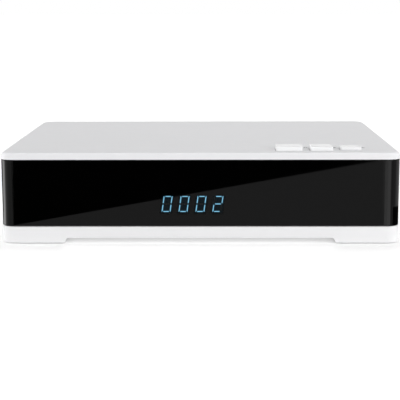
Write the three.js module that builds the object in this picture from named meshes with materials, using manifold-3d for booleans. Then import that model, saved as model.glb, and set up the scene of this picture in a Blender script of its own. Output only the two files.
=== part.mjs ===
// A satellite television receiver: a low white case with a gloss black front that wraps round the
// front corners, a segment display behind it, three keys on top and a row of sockets at the rear.
// Millimetres. +X is to the right seen from the front, +Y to the rear and +Z up.
// The origin is the middle of the footprint, on the surface that the feet stand on.
import * as THREE from "three";
import { mergeVertices } from "three/addons/utils/BufferGeometryUtils.js";
import Module from "manifold-3d";

const wasm = await Module();
wasm.setup();

// Case envelope
const CASE_WIDTH = 236;
const CASE_DEPTH = 180;
const CASE_HEIGHT = 54.6;
const CORNER_RADIUS = 8; // the four upright corners
const TOP_EDGE_RADIUS = 1.3;
const BASE_EDGE_RADIUS = 0.8;
const WALL = 2.2;
const CONNECTOR_REACH = 11; // how far the aerial sockets stand out behind the case

// Clearances
const SEAT_GAP = 0.3; // between pieces that rest on each other
const SEAM = 0.3; // the visible line between two shells
const OVERRUN = 1; // how far a cutter runs past the face that it cuts
const MERGE_DISTANCE = 0.0001; // corners closer than this are one corner

// Split lines of the case
const BASE_TOP = 10.5; // rim of the base, above the table
const COVER_BAND = 4.3; // white band of the cover above the black front
const BASE_INSET = 0.4; // the base lies this far inside the cover's outline
const FASCIA_INSET = 0.3; // and so does the black front

// Base and feet
const FLOOR = 2.2;
const UNDERSIDE = 3.3; // underside of the base between the feet, above the table
const FOOT_WIDTH = 37; // along the front, from the case's side
const FOOT_DEPTH = 35; // from the case's front or rear
const STEP_RUN = 2.9; // how far the S-shaped step leans
const PAD_RADIUS = 6;
const PAD_THICKNESS = 1.4;
const PAD_PROUD = 0.5; // rubber that shows below the foot
const PAD_SIDE_INSET = 26;
const PAD_FRONT_INSET = 13;
const PAD_REAR_INSET = 25;
const FLOOR_SLOT_WIDTH = 3;
const FLOOR_SLOT_LENGTH = 34;
const FLOOR_SLOT_PITCH = 9;
const FLOOR_VENT_SPAN = 96; // across the case
const BASE_RIB = 1.4;
const BASE_RIB_HEIGHT = 2.4;

// Bosses and screws that join cover and base
const BOSS_SIDE_INSET = 11;
const BOSS_FRONT_INSET = 25;
const BOSS_REAR_INSET = 12;
const BOSS_SPLIT = 12; // top of the base's boss, above the table
const BASE_BOSS_RADIUS = 5;
const COVER_BOSS_RADIUS = 4;
const CASE_SCREW_RADIUS = 1.5;
const CASE_SCREW_LENGTH = 15;
const CASE_SCREW_HEAD_RADIUS = 2.8;
const CASE_SCREW_HEAD_HEIGHT = 1.9;
const CASE_SCREW_DEPTH = 2.6; // the head's seat, above the underside of the foot
const PILOT_DEPTH_MARGIN = 2; // a pilot hole runs this far past its screw

// Side walls
const VENT_WIDTH = 2.4;
const VENT_HEIGHT = 20;
const VENT_PITCH = 8;
const VENT_BOTTOM = 24; // above the table
const VENT_END_MARGIN = 34; // from the black front's wing and from the rear
const COVER_RIB = 1.4;
const COVER_RIB_HEIGHT = 3;

// Black front and its carrier
const WING_LENGTH = 22; // how far the black front runs along each side
const LENS_THICKNESS = 2.5;
const LENS_EDGE = 0.35; // rounding of its upper and lower edges
const FRAME_WALL = 2;
const FRAME_RIB = 1.5;
const FRAME_RIB_DEPTH = 3;
const FRAME_RIB_PITCH = 18;
const FRAME_BOSS_RADIUS = 3;

// Four-digit display
const DISPLAY_OFFSET = 4.5; // its middle, left of the case's middle
const DISPLAY_SHARE = 0.4322; // its middle's height, in the case's height
const DISPLAY_WIDTH = 40.2;
const DISPLAY_HEIGHT = 12.8;
const DISPLAY_DEPTH = 7;
const DIGIT_COUNT = 4;
const DIGIT_PITCH = 10;
const DIGIT_HEIGHT = 9.9;
const DIGIT_WIDTH = 5.6;
const DIGIT_SLANT = THREE.MathUtils.degToRad(8);
const STROKE = 0.9;
const STROKE_GAP = 0.16;
const POINT_RADIUS = 0.55;
const POINT_OFFSET = 1.5; // from the digit's right edge
const SEGMENT_DEPTH = 0.4;

// Front board
const FRONT_BOARD_LEFT = 38; // its ends, from the case's middle
const FRONT_BOARD_RIGHT = 56;
const FRONT_BOARD_DROP = 6.5; // below the key board
const FRONT_BOARD_RISE = 0.8; // above the base's rim
const BOARD_THICKNESS = 1.6;
const FRONT_BOSS_INSET = 4;
const SMALL_SCREW_RADIUS = 1.1;
const SMALL_SCREW_LENGTH = 5;
const SMALL_SCREW_HEAD_RADIUS = 2.1;
const SMALL_SCREW_HEAD_HEIGHT = 1.4;
const INFRARED_X = 25;
const INFRARED_WIDTH = 5.6;
const INFRARED_HEIGHT = 7;
const INFRARED_DEPTH = 4.4;
const INFRARED_LENS_RADIUS = 2.2;
const INFRARED_WINDOW_RADIUS = 3;

// Keys. Insets run from the case's right side to a key's left edge.
const KEY_FRONT = 7.5; // front edge of the two larger keys, behind the case's front
const KEY_DEPTH = 14;
const KEY_RISE = 2.4; // above the plate
const SMALL_KEY_SETBACK = 4.1; // the third key's front edge, behind the other two
const SMALL_KEY_DEPTH = 8.6;
const SMALL_KEY_RISE = 1.8;
const STANDBY_INSET = 73.2;
const STANDBY_WIDTH = 15.8;
const CHANNEL_DOWN_INSET = 52.9;
const CHANNEL_DOWN_WIDTH = 13.3;
const CHANNEL_UP_INSET = 35.1;
const CHANNEL_UP_WIDTH = 12.8;
const KEY_TRAVEL = 0.5;
const KEY_CLEARANCE = 0.35;
const KEY_CORNER = 1.2;
const KEY_EDGE = 0.7;
const KEY_FLANGE = 1.2; // both how thick and how wide the flange under the plate is
const KEY_STEM_LENGTH = 2.6;
const KEY_STEM_WIDTH = 4.4;

// Key board and its switches
const SWITCH_SIDE = 6;
const SWITCH_HEIGHT = 3.4;
const SWITCH_LEG = 0.8;
const PLUNGER_RADIUS = 1.75;
const PLUNGER_PROUD = 0.9;
const PLUNGER_DEPTH = 1.5; // inside the switch
const KEY_BOARD_MARGIN = 2.8; // board beyond the outer keys
const KEY_BOARD_FRONT = 6; // behind the case's front
const KEY_BOARD_DEPTH = 25;
const KEY_POST_RADIUS = 2.8;
const KEY_POST_INSET = 4.2;
const KEY_SHELF_DEPTH = 3.2;
const KEY_SHELF_INSET = 9;

// Main board
const STANDOFF = 4; // between the floor and the board
const BOARD_BOSS_GAP = 1.5; // between the board's side and the case bosses
const BOARD_SCREW_INSET = 6;
const BOARD_BOSS_RADIUS = 3.2;
const BOARD_SCREW_RADIUS = 1.4;
const BOARD_SCREW_LENGTH = 5.2;
const BOARD_SCREW_HEAD_RADIUS = 2.7;
const BOARD_SCREW_HEAD_HEIGHT = 1.8;
const SCREW_CROWN_SHARE = 0.6; // flat top of any screw's head, in the head's width

// Components on the main board
const CHIP_SIDE = 27;
const CHIP_HEIGHT = 2;
const CHIP_OFFSET = 14; // left of the case's middle
const CHIP_SETBACK = 2; // behind the board's middle
const HEATSINK_SIDE = 33;
const HEATSINK_BASE = 2.2;
const HEATSINK_HEIGHT = 13;
const FIN_THICKNESS = 1.1;
const FIN_COUNT = 9;
const MEMORY_WIDTH = 10.5;
const MEMORY_DEPTH = 18.4;
const MEMORY_HEIGHT = 1.2;
const MEMORY_LEG = 0.9;
const MEMORY_LEG_PITCH = 3;
const MEMORY_GAP = 6; // beside the heatsink
const CAPACITOR_RADIUS = 5;
const CAPACITOR_HEIGHT = 16;
const CAPACITOR_GROOVE = 0.6;
const CAPACITOR_SCORE = 0.7;
const CAPACITOR_SCORE_SHARE = 0.7; // how far the scores reach over the top
const CAPACITOR_SPACING = 15;
const SUPPLY_X_INSET = 16; // from the board's left side
const SUPPLY_Y_INSET = 40; // from the board's rear
const COIL_SIDE = 12;
const COIL_HEIGHT = 6.4;
const COIL_CHAMFER = 2;
const COIL_RADIUS = 4.6;
const COIL_WINDOW = 2.8;

// Card reader and its slot in the right wall
const CARD_WIDTH = 54;
const CARD_SLOT_HEIGHT = 2;
const CARD_CLEARANCE = 0.7;
const CARD_DEPTH = 50;
const READER_LENGTH = 66;
const READER_RIM = 1.6; // beside the card
const READER_HEIGHT = 6;
const READER_SCREW_GAP = 0.8; // to the board screws in front of it and behind it
const READER_Y_OFFSET = 5.2; // middle of the slot, behind the case's middle
const READER_MOUTH_GAP = 0.5;
const READER_WINDOW = 18;
const THUMB_WIDTH = 24;
const THUMB_HEIGHT = 5.6;
const THUMB_DEPTH = 1;

// Ribbon cables and their headers
const HEADER_LENGTH = 26;
const HEADER_WIDTH = 5;
const HEADER_HEIGHT = 5.5;
const HEADER_WALL = 0.9;
const RIBBON_WIDTH = 22;
const RIBBON_THICKNESS = 0.7;
const KEY_RIBBON_WIDTH = 8;
const KEY_RIBBON_INSET = 6; // from the key board's left end
const RIBBON_BOW = 17;
const MAIN_HEADER_INSET = 7; // from the board's front edge
const HEADER_DROP = 5; // the front header's middle, below the display's

// Rear panel
const PANEL_THICKNESS = 1;
const REAR_OPENING_MARGIN = 4; // opening in the cover, inside its rounded corners
const PANEL_LAP = 3; // how far the panel reaches behind the opening's edge
const REAR_LIP = 3; // cover's rear wall above the opening
const RETAINER_WIDTH = 8;
const RETAINER_THICKNESS = 1.6;
const RETAINER_HEIGHT = 4;
const PANEL_VENT_WIDTH = 2.4;
const PANEL_VENT_HEIGHT = 7;
const PANEL_VENT_PITCH = 8;
const PANEL_VENT_SPAN = 112;
const PANEL_VENT_DROP = 6; // below the panel's top edge
const SOCKET_PROUD = 0.8; // how far a socket's face stands out of the panel

// Tuner and its two aerial sockets
const TUNER_WIDTH = 31;
const TUNER_DEPTH = 36;
const TUNER_HEIGHT = 13;
const TUNER_LID = 0.5;
const TUNER_LID_HEIGHT = 3;
const AERIAL_SPACING = 17;
const AERIAL_AXIS = 7.4; // above the board
const AERIAL_COLLAR_RADIUS = 6.2;
const AERIAL_COLLAR = 2;
const AERIAL_RADIUS = 4.7;
const AERIAL_CHAMFER = 0.5;
const AERIAL_MOUTH = 3.3;
const AERIAL_MOUTH_DEPTH = 0.8;
const AERIAL_PIN_HOLE = 0.6;
const AERIAL_PIN_DEPTH = 7;
const NUT_FLATS = 11;
const NUT_HEIGHT = 2.5;

// Twenty-one pole audio and video socket
const SCART_WIDTH = 47;
const SCART_HEIGHT = 19;
const SCART_DEPTH = 23;
const SCART_SHELL_WIDTH = 44;
const SCART_SHELL_HEIGHT = 13.6;
const SCART_SHELL_SLANT = 4;
const SCART_CHANNEL = 1.7;
const SCART_CHANNEL_DEPTH = 9;
const SCART_AXIS = 9.8; // above the board
const CONTACT_PITCH = 3.81;
const CONTACT_ROW = 10;
const CONTACT_WIDTH = 1;
const CONTACT_HEIGHT = 3.4;
const CONTACT_DEPTH = 6;
const CONTACT_ROW_OFFSET = 2.5; // each row's middle, from the socket's middle

// Phono sockets
const PHONO_BLOCK_WIDTH = 11;
const PHONO_BLOCK_DEPTH = 11;
const PHONO_PITCH = 14;
const PHONO_AXIS = 7.4; // lowest socket, above the board
const PHONO_MARGIN = 6.2; // block above the highest socket
const PHONO_RADIUS = 4.15;
const PHONO_LENGTH = 8.4;
const PHONO_BORE = 3.1;
const PHONO_CORE = 2.4;
const PHONO_PIN = 1.55;

// Digital sockets
const HDMI_WIDTH = 15.2;
const HDMI_HEIGHT = 5.8;
const HDMI_CHAMFER = 1.9;
const HDMI_DEPTH = 12;
const HDMI_SHELL = 0.5;
const HDMI_TONGUE_WIDTH = 11.6;
const HDMI_TONGUE = 1.1;
const USB_WIDTH = 13.4;
const USB_HEIGHT = 6.2;
const USB_DEPTH = 14;
const USB_SHELL = 0.5;
const USB_TONGUE_WIDTH = 11;
const USB_TONGUE = 1.8;
const MOUTH_DEPTH = 9; // open depth of both
const TONGUE_SETBACK = 0.8;

// Power inlet and rocker switch
const INLET_WIDTH = 9.4;
const INLET_HEIGHT = 11;
const INLET_DEPTH = 14;
const INLET_BORE = 3.2;
const INLET_BORE_DEPTH = 9;
const INLET_PIN = 1;
const INLET_AXIS = 6.5; // above the board
const SWITCH_AXIS = 15; // rocker's pivot, above the board
const SWITCH_BODY_WIDTH = 13.4;
const SWITCH_BODY_HEIGHT = 20;
const SWITCH_BODY_DEPTH = 15;
const SWITCH_FLANGE = 1.6;
const SWITCH_FLANGE_MARGIN = 1.4;
const ROCKER_WIDTH = 10;
const ROCKER_HALF_HEIGHT = 7.3;
const ROCKER_FACE = 3.4; // the rocker's valley, in front of its pivot
const ROCKER_BACK = 2.5;
const ROCKER_TILT = THREE.MathUtils.degToRad(10);
const PIVOT_SETBACK = 3.6; // pivot behind the flange's face
const PIVOT_RADIUS = 1.5;
const ROCKER_CLEARANCE = 0.4;
const BLADE_WIDTH = 4.8;
const BLADE_THICKNESS = 0.8;
const BLADE_LENGTH = 7;
const BLADE_OFFSET = 5;

// Roundness, as numbers of flat faces. An arc in an outline gets twice its steps.
const CORNER_STEPS = 4;
const EDGE_STEPS = 2;
const SLOT_STEPS = 1;
const STEP_STEPS = 5;
const POINT_STEPS = 4;
const LARGE_SIDES = 16;
const SMALL_SIDES = 12;
const SCREW_SIDES = 8;
const RIBBON_STEPS = 9;

// Places worked out from the sizes above
const HALF_WIDTH = CASE_WIDTH / 2;
const FRONT = -(CASE_DEPTH + CONNECTOR_REACH) / 2;
const REAR = FRONT + CASE_DEPTH;
const MIDDLE_Y = (FRONT + REAR) / 2;
const PLATE_UNDERSIDE = CASE_HEIGHT - WALL;
const FASCIA_BOTTOM = BASE_TOP + SEAM;
const FASCIA_TOP = CASE_HEIGHT - COVER_BAND - SEAM;
const FLOOR_TOP = UNDERSIDE + FLOOR;
const BOSS_X = HALF_WIDTH - BOSS_SIDE_INSET;
const LENS_BACK = FRONT + FASCIA_INSET + LENS_THICKNESS;
const FRAME_FRONT = LENS_BACK + SEAT_GAP;
const FRAME_BACK = FRAME_FRONT + FRAME_WALL;
const FRONT_BOARD_Y = FRAME_FRONT + DISPLAY_DEPTH + SEAT_GAP;
const FRONT_BOARD_BACK = FRONT_BOARD_Y + BOARD_THICKNESS;
const DISPLAY_Z = DISPLAY_SHARE * CASE_HEIGHT;
const PANEL_OUTER = REAR - BASE_INSET - WALL - SEAM;
const PANEL_INNER = PANEL_OUTER - PANEL_THICKNESS;
const REAR_OPENING = HALF_WIDTH - CORNER_RADIUS - REAR_OPENING_MARGIN;
const BOARD_BOTTOM = FLOOR_TOP + STANDOFF;
const BOARD_TOP = BOARD_BOTTOM + BOARD_THICKNESS;
const BOARD_HALF_WIDTH = BOSS_X - BASE_BOSS_RADIUS - BOARD_BOSS_GAP;
const READER_Y = MIDDLE_Y - READER_Y_OFFSET;
const READER_HALF = CARD_WIDTH / 2 + CARD_CLEARANCE + READER_RIM;
const BOARD_SCREW_X = BOARD_HALF_WIDTH - BOARD_SCREW_INSET;
const BOARD_SCREW_REACH = READER_HALF + READER_SCREW_GAP + BOARD_SCREW_HEAD_RADIUS;
const BOARD_FRONT = READER_Y - BOARD_SCREW_REACH - BOARD_SCREW_INSET;
const BOARD_REAR = PANEL_INNER - SEAT_GAP;
const BOARD_MIDDLE_Y = (BOARD_FRONT + BOARD_REAR) / 2;
const LARGE_KEY = { front: FRONT + KEY_FRONT, depth: KEY_DEPTH, rise: KEY_RISE };
const SMALL_KEY = {
  front: FRONT + KEY_FRONT + SMALL_KEY_SETBACK,
  depth: SMALL_KEY_DEPTH,
  rise: SMALL_KEY_RISE,
};
const KEYS = [
  { name: "standby", inset: STANDBY_INSET, width: STANDBY_WIDTH, ...LARGE_KEY },
  { name: "channel_down", inset: CHANNEL_DOWN_INSET, width: CHANNEL_DOWN_WIDTH, ...LARGE_KEY },
  { name: "channel_up", inset: CHANNEL_UP_INSET, width: CHANNEL_UP_WIDTH, ...SMALL_KEY },
].map((key) => ({ ...key, left: HALF_WIDTH - key.inset }));
const FLANGE_TOP = PLATE_UNDERSIDE - SEAT_GAP;
const STEM_BOTTOM = FLANGE_TOP - KEY_FLANGE - KEY_STEM_LENGTH;
const PLUNGER_TOP = STEM_BOTTOM - SEAT_GAP;
const SWITCH_BOTTOM = PLUNGER_TOP - PLUNGER_PROUD - SWITCH_HEIGHT;
const KEY_BOARD_TOP = SWITCH_BOTTOM - SEAT_GAP;
const KEY_BOARD_BOTTOM = KEY_BOARD_TOP - BOARD_THICKNESS;
const FRONT_BOARD_TOP = KEY_BOARD_BOTTOM - FRONT_BOARD_DROP;
const FRONT_BOARD_BOTTOM = BASE_TOP + FRONT_BOARD_RISE;
const KEY_BOARD_LEFT = KEYS[0].left - KEY_BOARD_MARGIN;
const KEY_BOARD_RIGHT = KEYS.at(-1).left + KEYS.at(-1).width + KEY_BOARD_MARGIN;
const KEY_BOARD_Y = FRONT + KEY_BOARD_FRONT;
const KEY_BOARD_REAR = KEY_BOARD_Y + KEY_BOARD_DEPTH;
const READER_BOTTOM = BOARD_TOP + SEAT_GAP;
const CARD_Z = READER_BOTTOM + READER_HEIGHT / 2;

// Materials
function plastic(color, roughness) {
  return new THREE.MeshStandardMaterial({ color, roughness, metalness: 0, flatShading: true });
}

function metal(color, roughness) {
  return new THREE.MeshStandardMaterial({ color, roughness, metalness: 1, flatShading: true });
}

const WHITE_SHELL = plastic(0xe6e6e7, 0.45);
const WHITE_KEY = plastic(0xf1f1f2, 0.35);
const BLACK_GLOSS = plastic(0x050506, 0.06);
const BLACK_PLASTIC = plastic(0x121213, 0.6);
const GREY_PLASTIC = plastic(0x2c2c2f, 0.5);
const RUBBER = plastic(0x1b1b1c, 0.85);
const BOARD_GREEN = plastic(0x1c5a34, 0.5);
const RIBBON_GREY = plastic(0xb9bbbd, 0.6);
const CREAM_PLASTIC = plastic(0xe4dfcd, 0.5);
const SLEEVE_BLUE = plastic(0x1d2438, 0.4);
const PAINTED_PANEL = plastic(0x232325, 0.55);
const TINNED = metal(0xb9bbbd, 0.35);
const NICKEL = metal(0xc9c7c2, 0.25);
const ALUMINIUM = metal(0xb4b6b8, 0.4);
const ZINC = metal(0x9fa2a5, 0.35);

// Solids: a closed geometry becomes a solid that can be joined and cut, and turns back into a mesh.
function solid(geometry) {
  const loose = geometry.index ? geometry.toNonIndexed() : geometry;
  const bare = new THREE.BufferGeometry();
  bare.setAttribute("position", loose.getAttribute("position"));
  const merged = mergeVertices(bare, MERGE_DISTANCE);
  const corners = merged.index.array;
  const kept = [];
  for (let i = 0; i < corners.length; i += 3) {
    const [a, b, c] = corners.subarray(i, i + 3);
    if (a !== b && b !== c && c !== a) kept.push(a, b, c);
  }
  const vertProperties = merged.getAttribute("position").array;
  const triVerts = new Uint32Array(kept);
  return new wasm.Manifold(new wasm.Mesh({ numProp: 3, vertProperties, triVerts }));
}

function join(parts) {
  return parts.reduce((whole, part) => whole.add(part));
}

function cut(body, cutters) {
  return cutters.reduce((left, cutter) => left.subtract(cutter), body);
}

function piece(name, body, material) {
  const { vertProperties, triVerts } = body.getMesh();
  const geometry = new THREE.BufferGeometry();
  geometry.setAttribute("position", new THREE.BufferAttribute(vertProperties.slice(), 3));
  geometry.setIndex(new THREE.BufferAttribute(triVerts.slice(), 1));
  geometry.computeVertexNormals();
  const mesh = new THREE.Mesh(geometry, material);
  mesh.name = name;
  return mesh;
}

// A box between two opposite corners.
function box(x0, x1, y0, y1, z0, z1) {
  const geometry = new THREE.BoxGeometry(x1 - x0, y1 - y0, z1 - z0);
  geometry.translate((x0 + x1) / 2, (y0 + y1) / 2, (z0 + z1) / 2);
  return solid(geometry);
}

// A prism of a flat outline. Along z the outline is drawn in x and y, along y in x and z, and
// along x in y and z. An edge rounds both ends of it.
const AXES = {
  x: new THREE.Matrix4().makeBasis(
    new THREE.Vector3(0, 1, 0),
    new THREE.Vector3(0, 0, 1),
    new THREE.Vector3(1, 0, 0),
  ),
  y: new THREE.Matrix4().makeBasis(
    new THREE.Vector3(1, 0, 0),
    new THREE.Vector3(0, 0, 1),
    new THREE.Vector3(0, -1, 0),
  ),
  z: new THREE.Matrix4(),
};

function prism(axis, shape, from, to, { edge = 0, steps = CORNER_STEPS } = {}) {
  const geometry = new THREE.ExtrudeGeometry(shape, {
    depth: to - from - 2 * edge,
    curveSegments: steps,
    bevelEnabled: edge > 0,
    bevelThickness: edge,
    bevelSize: edge,
    bevelOffset: -edge,
    bevelSegments: EDGE_STEPS,
  });
  geometry.translate(0, 0, edge + (axis === "y" ? -to : from));
  geometry.applyMatrix4(AXES[axis]);
  return solid(geometry);
}

// A turned solid: pairs of radius and height, from the axis at the bottom round to the axis again.
function turned(axis, profile, sides) {
  const points = profile.map(([radius, height]) => new THREE.Vector2(radius, height));
  const geometry = new THREE.LatheGeometry(points, sides);
  if (axis === "z") geometry.rotateX(Math.PI / 2);
  if (axis === "x") geometry.rotateZ(-Math.PI / 2);
  return solid(geometry);
}

function rod(axis, radius, from, to, sides) {
  const profile = [
    [0, from],
    [radius, from],
    [radius, to],
    [0, to],
  ];
  return turned(axis, profile, sides);
}

// The same solid somewhere else.
function moved(body, x, y, z) {
  const { vertProperties, triVerts } = body.getMesh();
  const geometry = new THREE.BufferGeometry();
  geometry.setAttribute("position", new THREE.BufferAttribute(vertProperties.slice(), 3));
  geometry.setIndex(new THREE.BufferAttribute(triVerts.slice(), 1));
  return solid(geometry.translate(x, y, z));
}

// Outlines
function roundedRect(x0, x1, y0, y1, radius) {
  const shape = new THREE.Shape();
  shape.moveTo(x0 + radius, y0);
  shape.absarc(x1 - radius, y0 + radius, radius, -Math.PI / 2, 0, false);
  shape.absarc(x1 - radius, y1 - radius, radius, 0, Math.PI / 2, false);
  shape.absarc(x0 + radius, y1 - radius, radius, Math.PI / 2, Math.PI, false);
  shape.absarc(x0 + radius, y0 + radius, radius, Math.PI, 1.5 * Math.PI, false);
  return shape;
}

function polygon(points) {
  return new THREE.Shape(points.map(([u, v]) => new THREE.Vector2(u, v)));
}

// A rectangle with its four corners cut off.
function chamferedRect(x0, x1, y0, y1, chamfer) {
  return polygon([
    [x0 + chamfer, y0],
    [x1 - chamfer, y0],
    [x1, y0 + chamfer],
    [x1, y1 - chamfer],
    [x1 - chamfer, y1],
    [x0 + chamfer, y1],
    [x0, y1 - chamfer],
    [x0, y0 + chamfer],
  ]);
}

// The case's outline in plan, moved inwards.
function caseOutline(inset) {
  const left = -HALF_WIDTH + inset;
  const right = HALF_WIDTH - inset;
  return roundedRect(left, right, FRONT + inset, REAR - inset, CORNER_RADIUS - inset);
}

// The hollow between two feet, with an S-shaped step at each end.
function stepOutline(middle, half) {
  const foot = half + STEP_RUN / 2;
  const top = half - STEP_RUN / 2;
  const shape = new THREE.Shape();
  shape.moveTo(middle - foot, PAD_PROUD - OVERRUN);
  shape.lineTo(middle - foot, PAD_PROUD);
  shape.bezierCurveTo(
    ...[middle - half, PAD_PROUD],
    ...[middle - half, UNDERSIDE],
    ...[middle - top, UNDERSIDE],
  );
  shape.lineTo(middle + top, UNDERSIDE);
  shape.bezierCurveTo(
    ...[middle + half, UNDERSIDE],
    ...[middle + half, PAD_PROUD],
    ...[middle + foot, PAD_PROUD],
  );
  shape.lineTo(middle + foot, PAD_PROUD - OVERRUN);
  return shape;
}

// Places that come four at a time, one near each corner of the case.
function fourCorners(xInset, frontInset, rearInset) {
  const x = HALF_WIDTH - xInset;
  return [
    { where: "front_left", x: -x, y: FRONT + frontInset },
    { where: "front_right", x, y: FRONT + frontInset },
    { where: "rear_left", x: -x, y: REAR - rearInset },
    { where: "rear_right", x, y: REAR - rearInset },
  ];
}

const CASE_BOSSES = fourCorners(BOSS_SIDE_INSET, BOSS_FRONT_INSET, BOSS_REAR_INSET);
const FOOT_PADS = fourCorners(PAD_SIDE_INSET, PAD_FRONT_INSET, PAD_REAR_INSET);

const BOARD_SCREWS = [
  { where: "front_left", x: -BOARD_SCREW_X, y: READER_Y - BOARD_SCREW_REACH },
  { where: "front_right", x: BOARD_SCREW_X, y: READER_Y - BOARD_SCREW_REACH },
  { where: "rear_left", x: -BOARD_SCREW_X, y: READER_Y + BOARD_SCREW_REACH },
  { where: "rear_right", x: BOARD_SCREW_X, y: READER_Y + BOARD_SCREW_REACH },
];

const FRONT_SCREWS = [FRONT_BOSS_INSET - FRONT_BOARD_LEFT, FRONT_BOARD_RIGHT - FRONT_BOSS_INSET];
const KEY_SCREWS = [KEY_BOARD_LEFT + KEY_POST_INSET, KEY_BOARD_RIGHT - KEY_POST_INSET];
const KEY_SCREW_Y = KEY_BOARD_REAR - KEY_POST_INSET;

// Evenly spaced places about a middle, as many as the span takes.
function spread(middle, span, pitch) {
  const count = Math.floor(span / pitch) + 1;
  const first = middle - ((count - 1) * pitch) / 2;
  return Array.from({ length: count }, (_, i) => first + i * pitch);
}

// A tapping screw with a pan head. Its head's seat is at height zero, and it points down.
function screw(radius, length, headRadius, headHeight) {
  const profile = [
    [0, -length],
    [radius, radius - length],
    [radius, 0],
    [headRadius, 0],
    [headRadius, headHeight / 2],
    [headRadius * SCREW_CROWN_SHARE, headHeight],
    [0, headHeight],
  ];
  return turned("z", profile, SCREW_SIDES);
}

// The screw that holds the front board and the key board.
function smallScrew() {
  const [radius, length] = [SMALL_SCREW_RADIUS, SMALL_SCREW_LENGTH];
  return screw(radius, length, SMALL_SCREW_HEAD_RADIUS, SMALL_SCREW_HEAD_HEIGHT);
}

// Base tray: a moulded floor and wall on four hollow corner feet.
function baseTray() {
  const skin = prism("z", caseOutline(BASE_INSET), PAD_PROUD, BASE_TOP + 2 * BASE_EDGE_RADIUS, {
    edge: BASE_EDGE_RADIUS,
  });
  const stepX = HALF_WIDTH - FOOT_WIDTH - STEP_RUN / 2;
  const stepY = CASE_DEPTH / 2 - FOOT_DEPTH - STEP_RUN / 2;
  const inner = BASE_INSET + WALL;
  const shell = cut(skin, [
    box(-CASE_WIDTH, CASE_WIDTH, FRONT - OVERRUN, REAR + OVERRUN, BASE_TOP, CASE_HEIGHT),
    prism("z", caseOutline(inner), FLOOR_TOP, BASE_TOP + OVERRUN),
    prism("y", stepOutline(0, stepX), FRONT - OVERRUN, REAR + OVERRUN, { steps: STEP_STEPS }),
    prism("x", stepOutline(MIDDLE_Y, stepY), -CASE_WIDTH, CASE_WIDTH, { steps: STEP_STEPS }),
    ...footWells(stepX, stepY, inner),
    ...floorVents(),
  ]);
  const whole = join([shell, ...baseBosses(), ...boardBosses(), ...baseRibs(), ...baseRetainers()]);
  return cut(whole, [...padRecesses(), ...caseScrewHoles(), ...boardPilotHoles()]);
}

// The hollow inside each foot, open to the inside of the case.
function footWells(stepX, stepY, inner) {
  const x0 = stepX + STEP_RUN / 2 + WALL;
  const x1 = HALF_WIDTH - inner - BASE_EDGE_RADIUS / 2;
  const y0 = stepY + STEP_RUN / 2 + WALL;
  const y1 = CASE_DEPTH / 2 - inner - BASE_EDGE_RADIUS / 2;
  const radius = CORNER_RADIUS - inner;
  const wells = [];
  for (const side of [-1, 1]) {
    for (const end of [-1, 1]) {
      const xs = [side * x0, side * x1].sort((a, b) => a - b);
      const ys = [MIDDLE_Y + end * y0, MIDDLE_Y + end * y1].sort((a, b) => a - b);
      const outline = roundedRect(...xs, ...ys, radius);
      wells.push(prism("z", outline, PAD_PROUD + FLOOR, FLOOR_TOP + WALL / 2, { steps: SLOT_STEPS }));
    }
  }
  return wells;
}

function floorVents() {
  const half = FLOOR_SLOT_WIDTH / 2;
  const y0 = BOARD_MIDDLE_Y - FLOOR_SLOT_LENGTH / 2;
  const y1 = BOARD_MIDDLE_Y + FLOOR_SLOT_LENGTH / 2;
  return spread(0, FLOOR_VENT_SPAN, FLOOR_SLOT_PITCH).map((x) => {
    const slot = roundedRect(x - half, x + half, y0, y1, half);
    return prism("z", slot, UNDERSIDE - OVERRUN, FLOOR_TOP + OVERRUN, { steps: SLOT_STEPS });
  });
}

function baseBosses() {
  return CASE_BOSSES.map(({ x, y }) =>
    moved(rod("z", BASE_BOSS_RADIUS, PAD_PROUD + FLOOR / 2, BOSS_SPLIT, SMALL_SIDES), x, y, 0),
  );
}

function boardBosses() {
  const top = BOARD_BOTTOM - SEAT_GAP;
  return BOARD_SCREWS.map(({ x, y }) =>
    moved(rod("z", BOARD_BOSS_RADIUS, UNDERSIDE + FLOOR / 2, top, SMALL_SIDES), x, y, 0),
  );
}

// Ribs that stiffen the floor beside its vents.
function baseRibs() {
  const reach = FLOOR_VENT_SPAN / 2;
  const top = FLOOR_TOP + BASE_RIB_HEIGHT;
  const offset = FLOOR_SLOT_LENGTH / 2 + FLOOR_SLOT_WIDTH;
  return [-1, 1].map((side) => {
    const y = BOARD_MIDDLE_Y + side * offset;
    const half = BASE_RIB / 2;
    return box(-reach, reach, y - half, y + half, FLOOR_TOP - FLOOR / 2, top);
  });
}

// Short walls that hold the rear panel from inside, on the floor below the main board.
function baseRetainers() {
  const y1 = PANEL_INNER - SEAT_GAP;
  const top = BOARD_BOTTOM - SEAT_GAP;
  return [-1, 1].map((side) => {
    const x = (side * REAR_OPENING) / 2;
    const half = RETAINER_WIDTH / 2;
    return box(x - half, x + half, y1 - RETAINER_THICKNESS, y1, FLOOR_TOP - FLOOR / 2, top);
  });
}

function padRecesses() {
  const radius = PAD_RADIUS + SEAT_GAP;
  const top = PAD_THICKNESS + SEAT_GAP;
  return FOOT_PADS.map(({ x, y }) => moved(rod("z", radius, -OVERRUN, top, LARGE_SIDES), x, y, 0));
}

function caseScrewHoles() {
  const seat = PAD_PROUD + CASE_SCREW_DEPTH + SEAT_GAP;
  const head = CASE_SCREW_HEAD_RADIUS + SEAT_GAP;
  const shank = CASE_SCREW_RADIUS + SEAT_GAP;
  return CASE_BOSSES.map(({ x, y }) => {
    const profile = [
      [0, -OVERRUN],
      [head, -OVERRUN],
      [head, seat],
      [shank, seat],
      [shank, BOSS_SPLIT + OVERRUN],
      [0, BOSS_SPLIT + OVERRUN],
    ];
    return moved(turned("z", profile, SMALL_SIDES), x, y, 0);
  });
}

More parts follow.
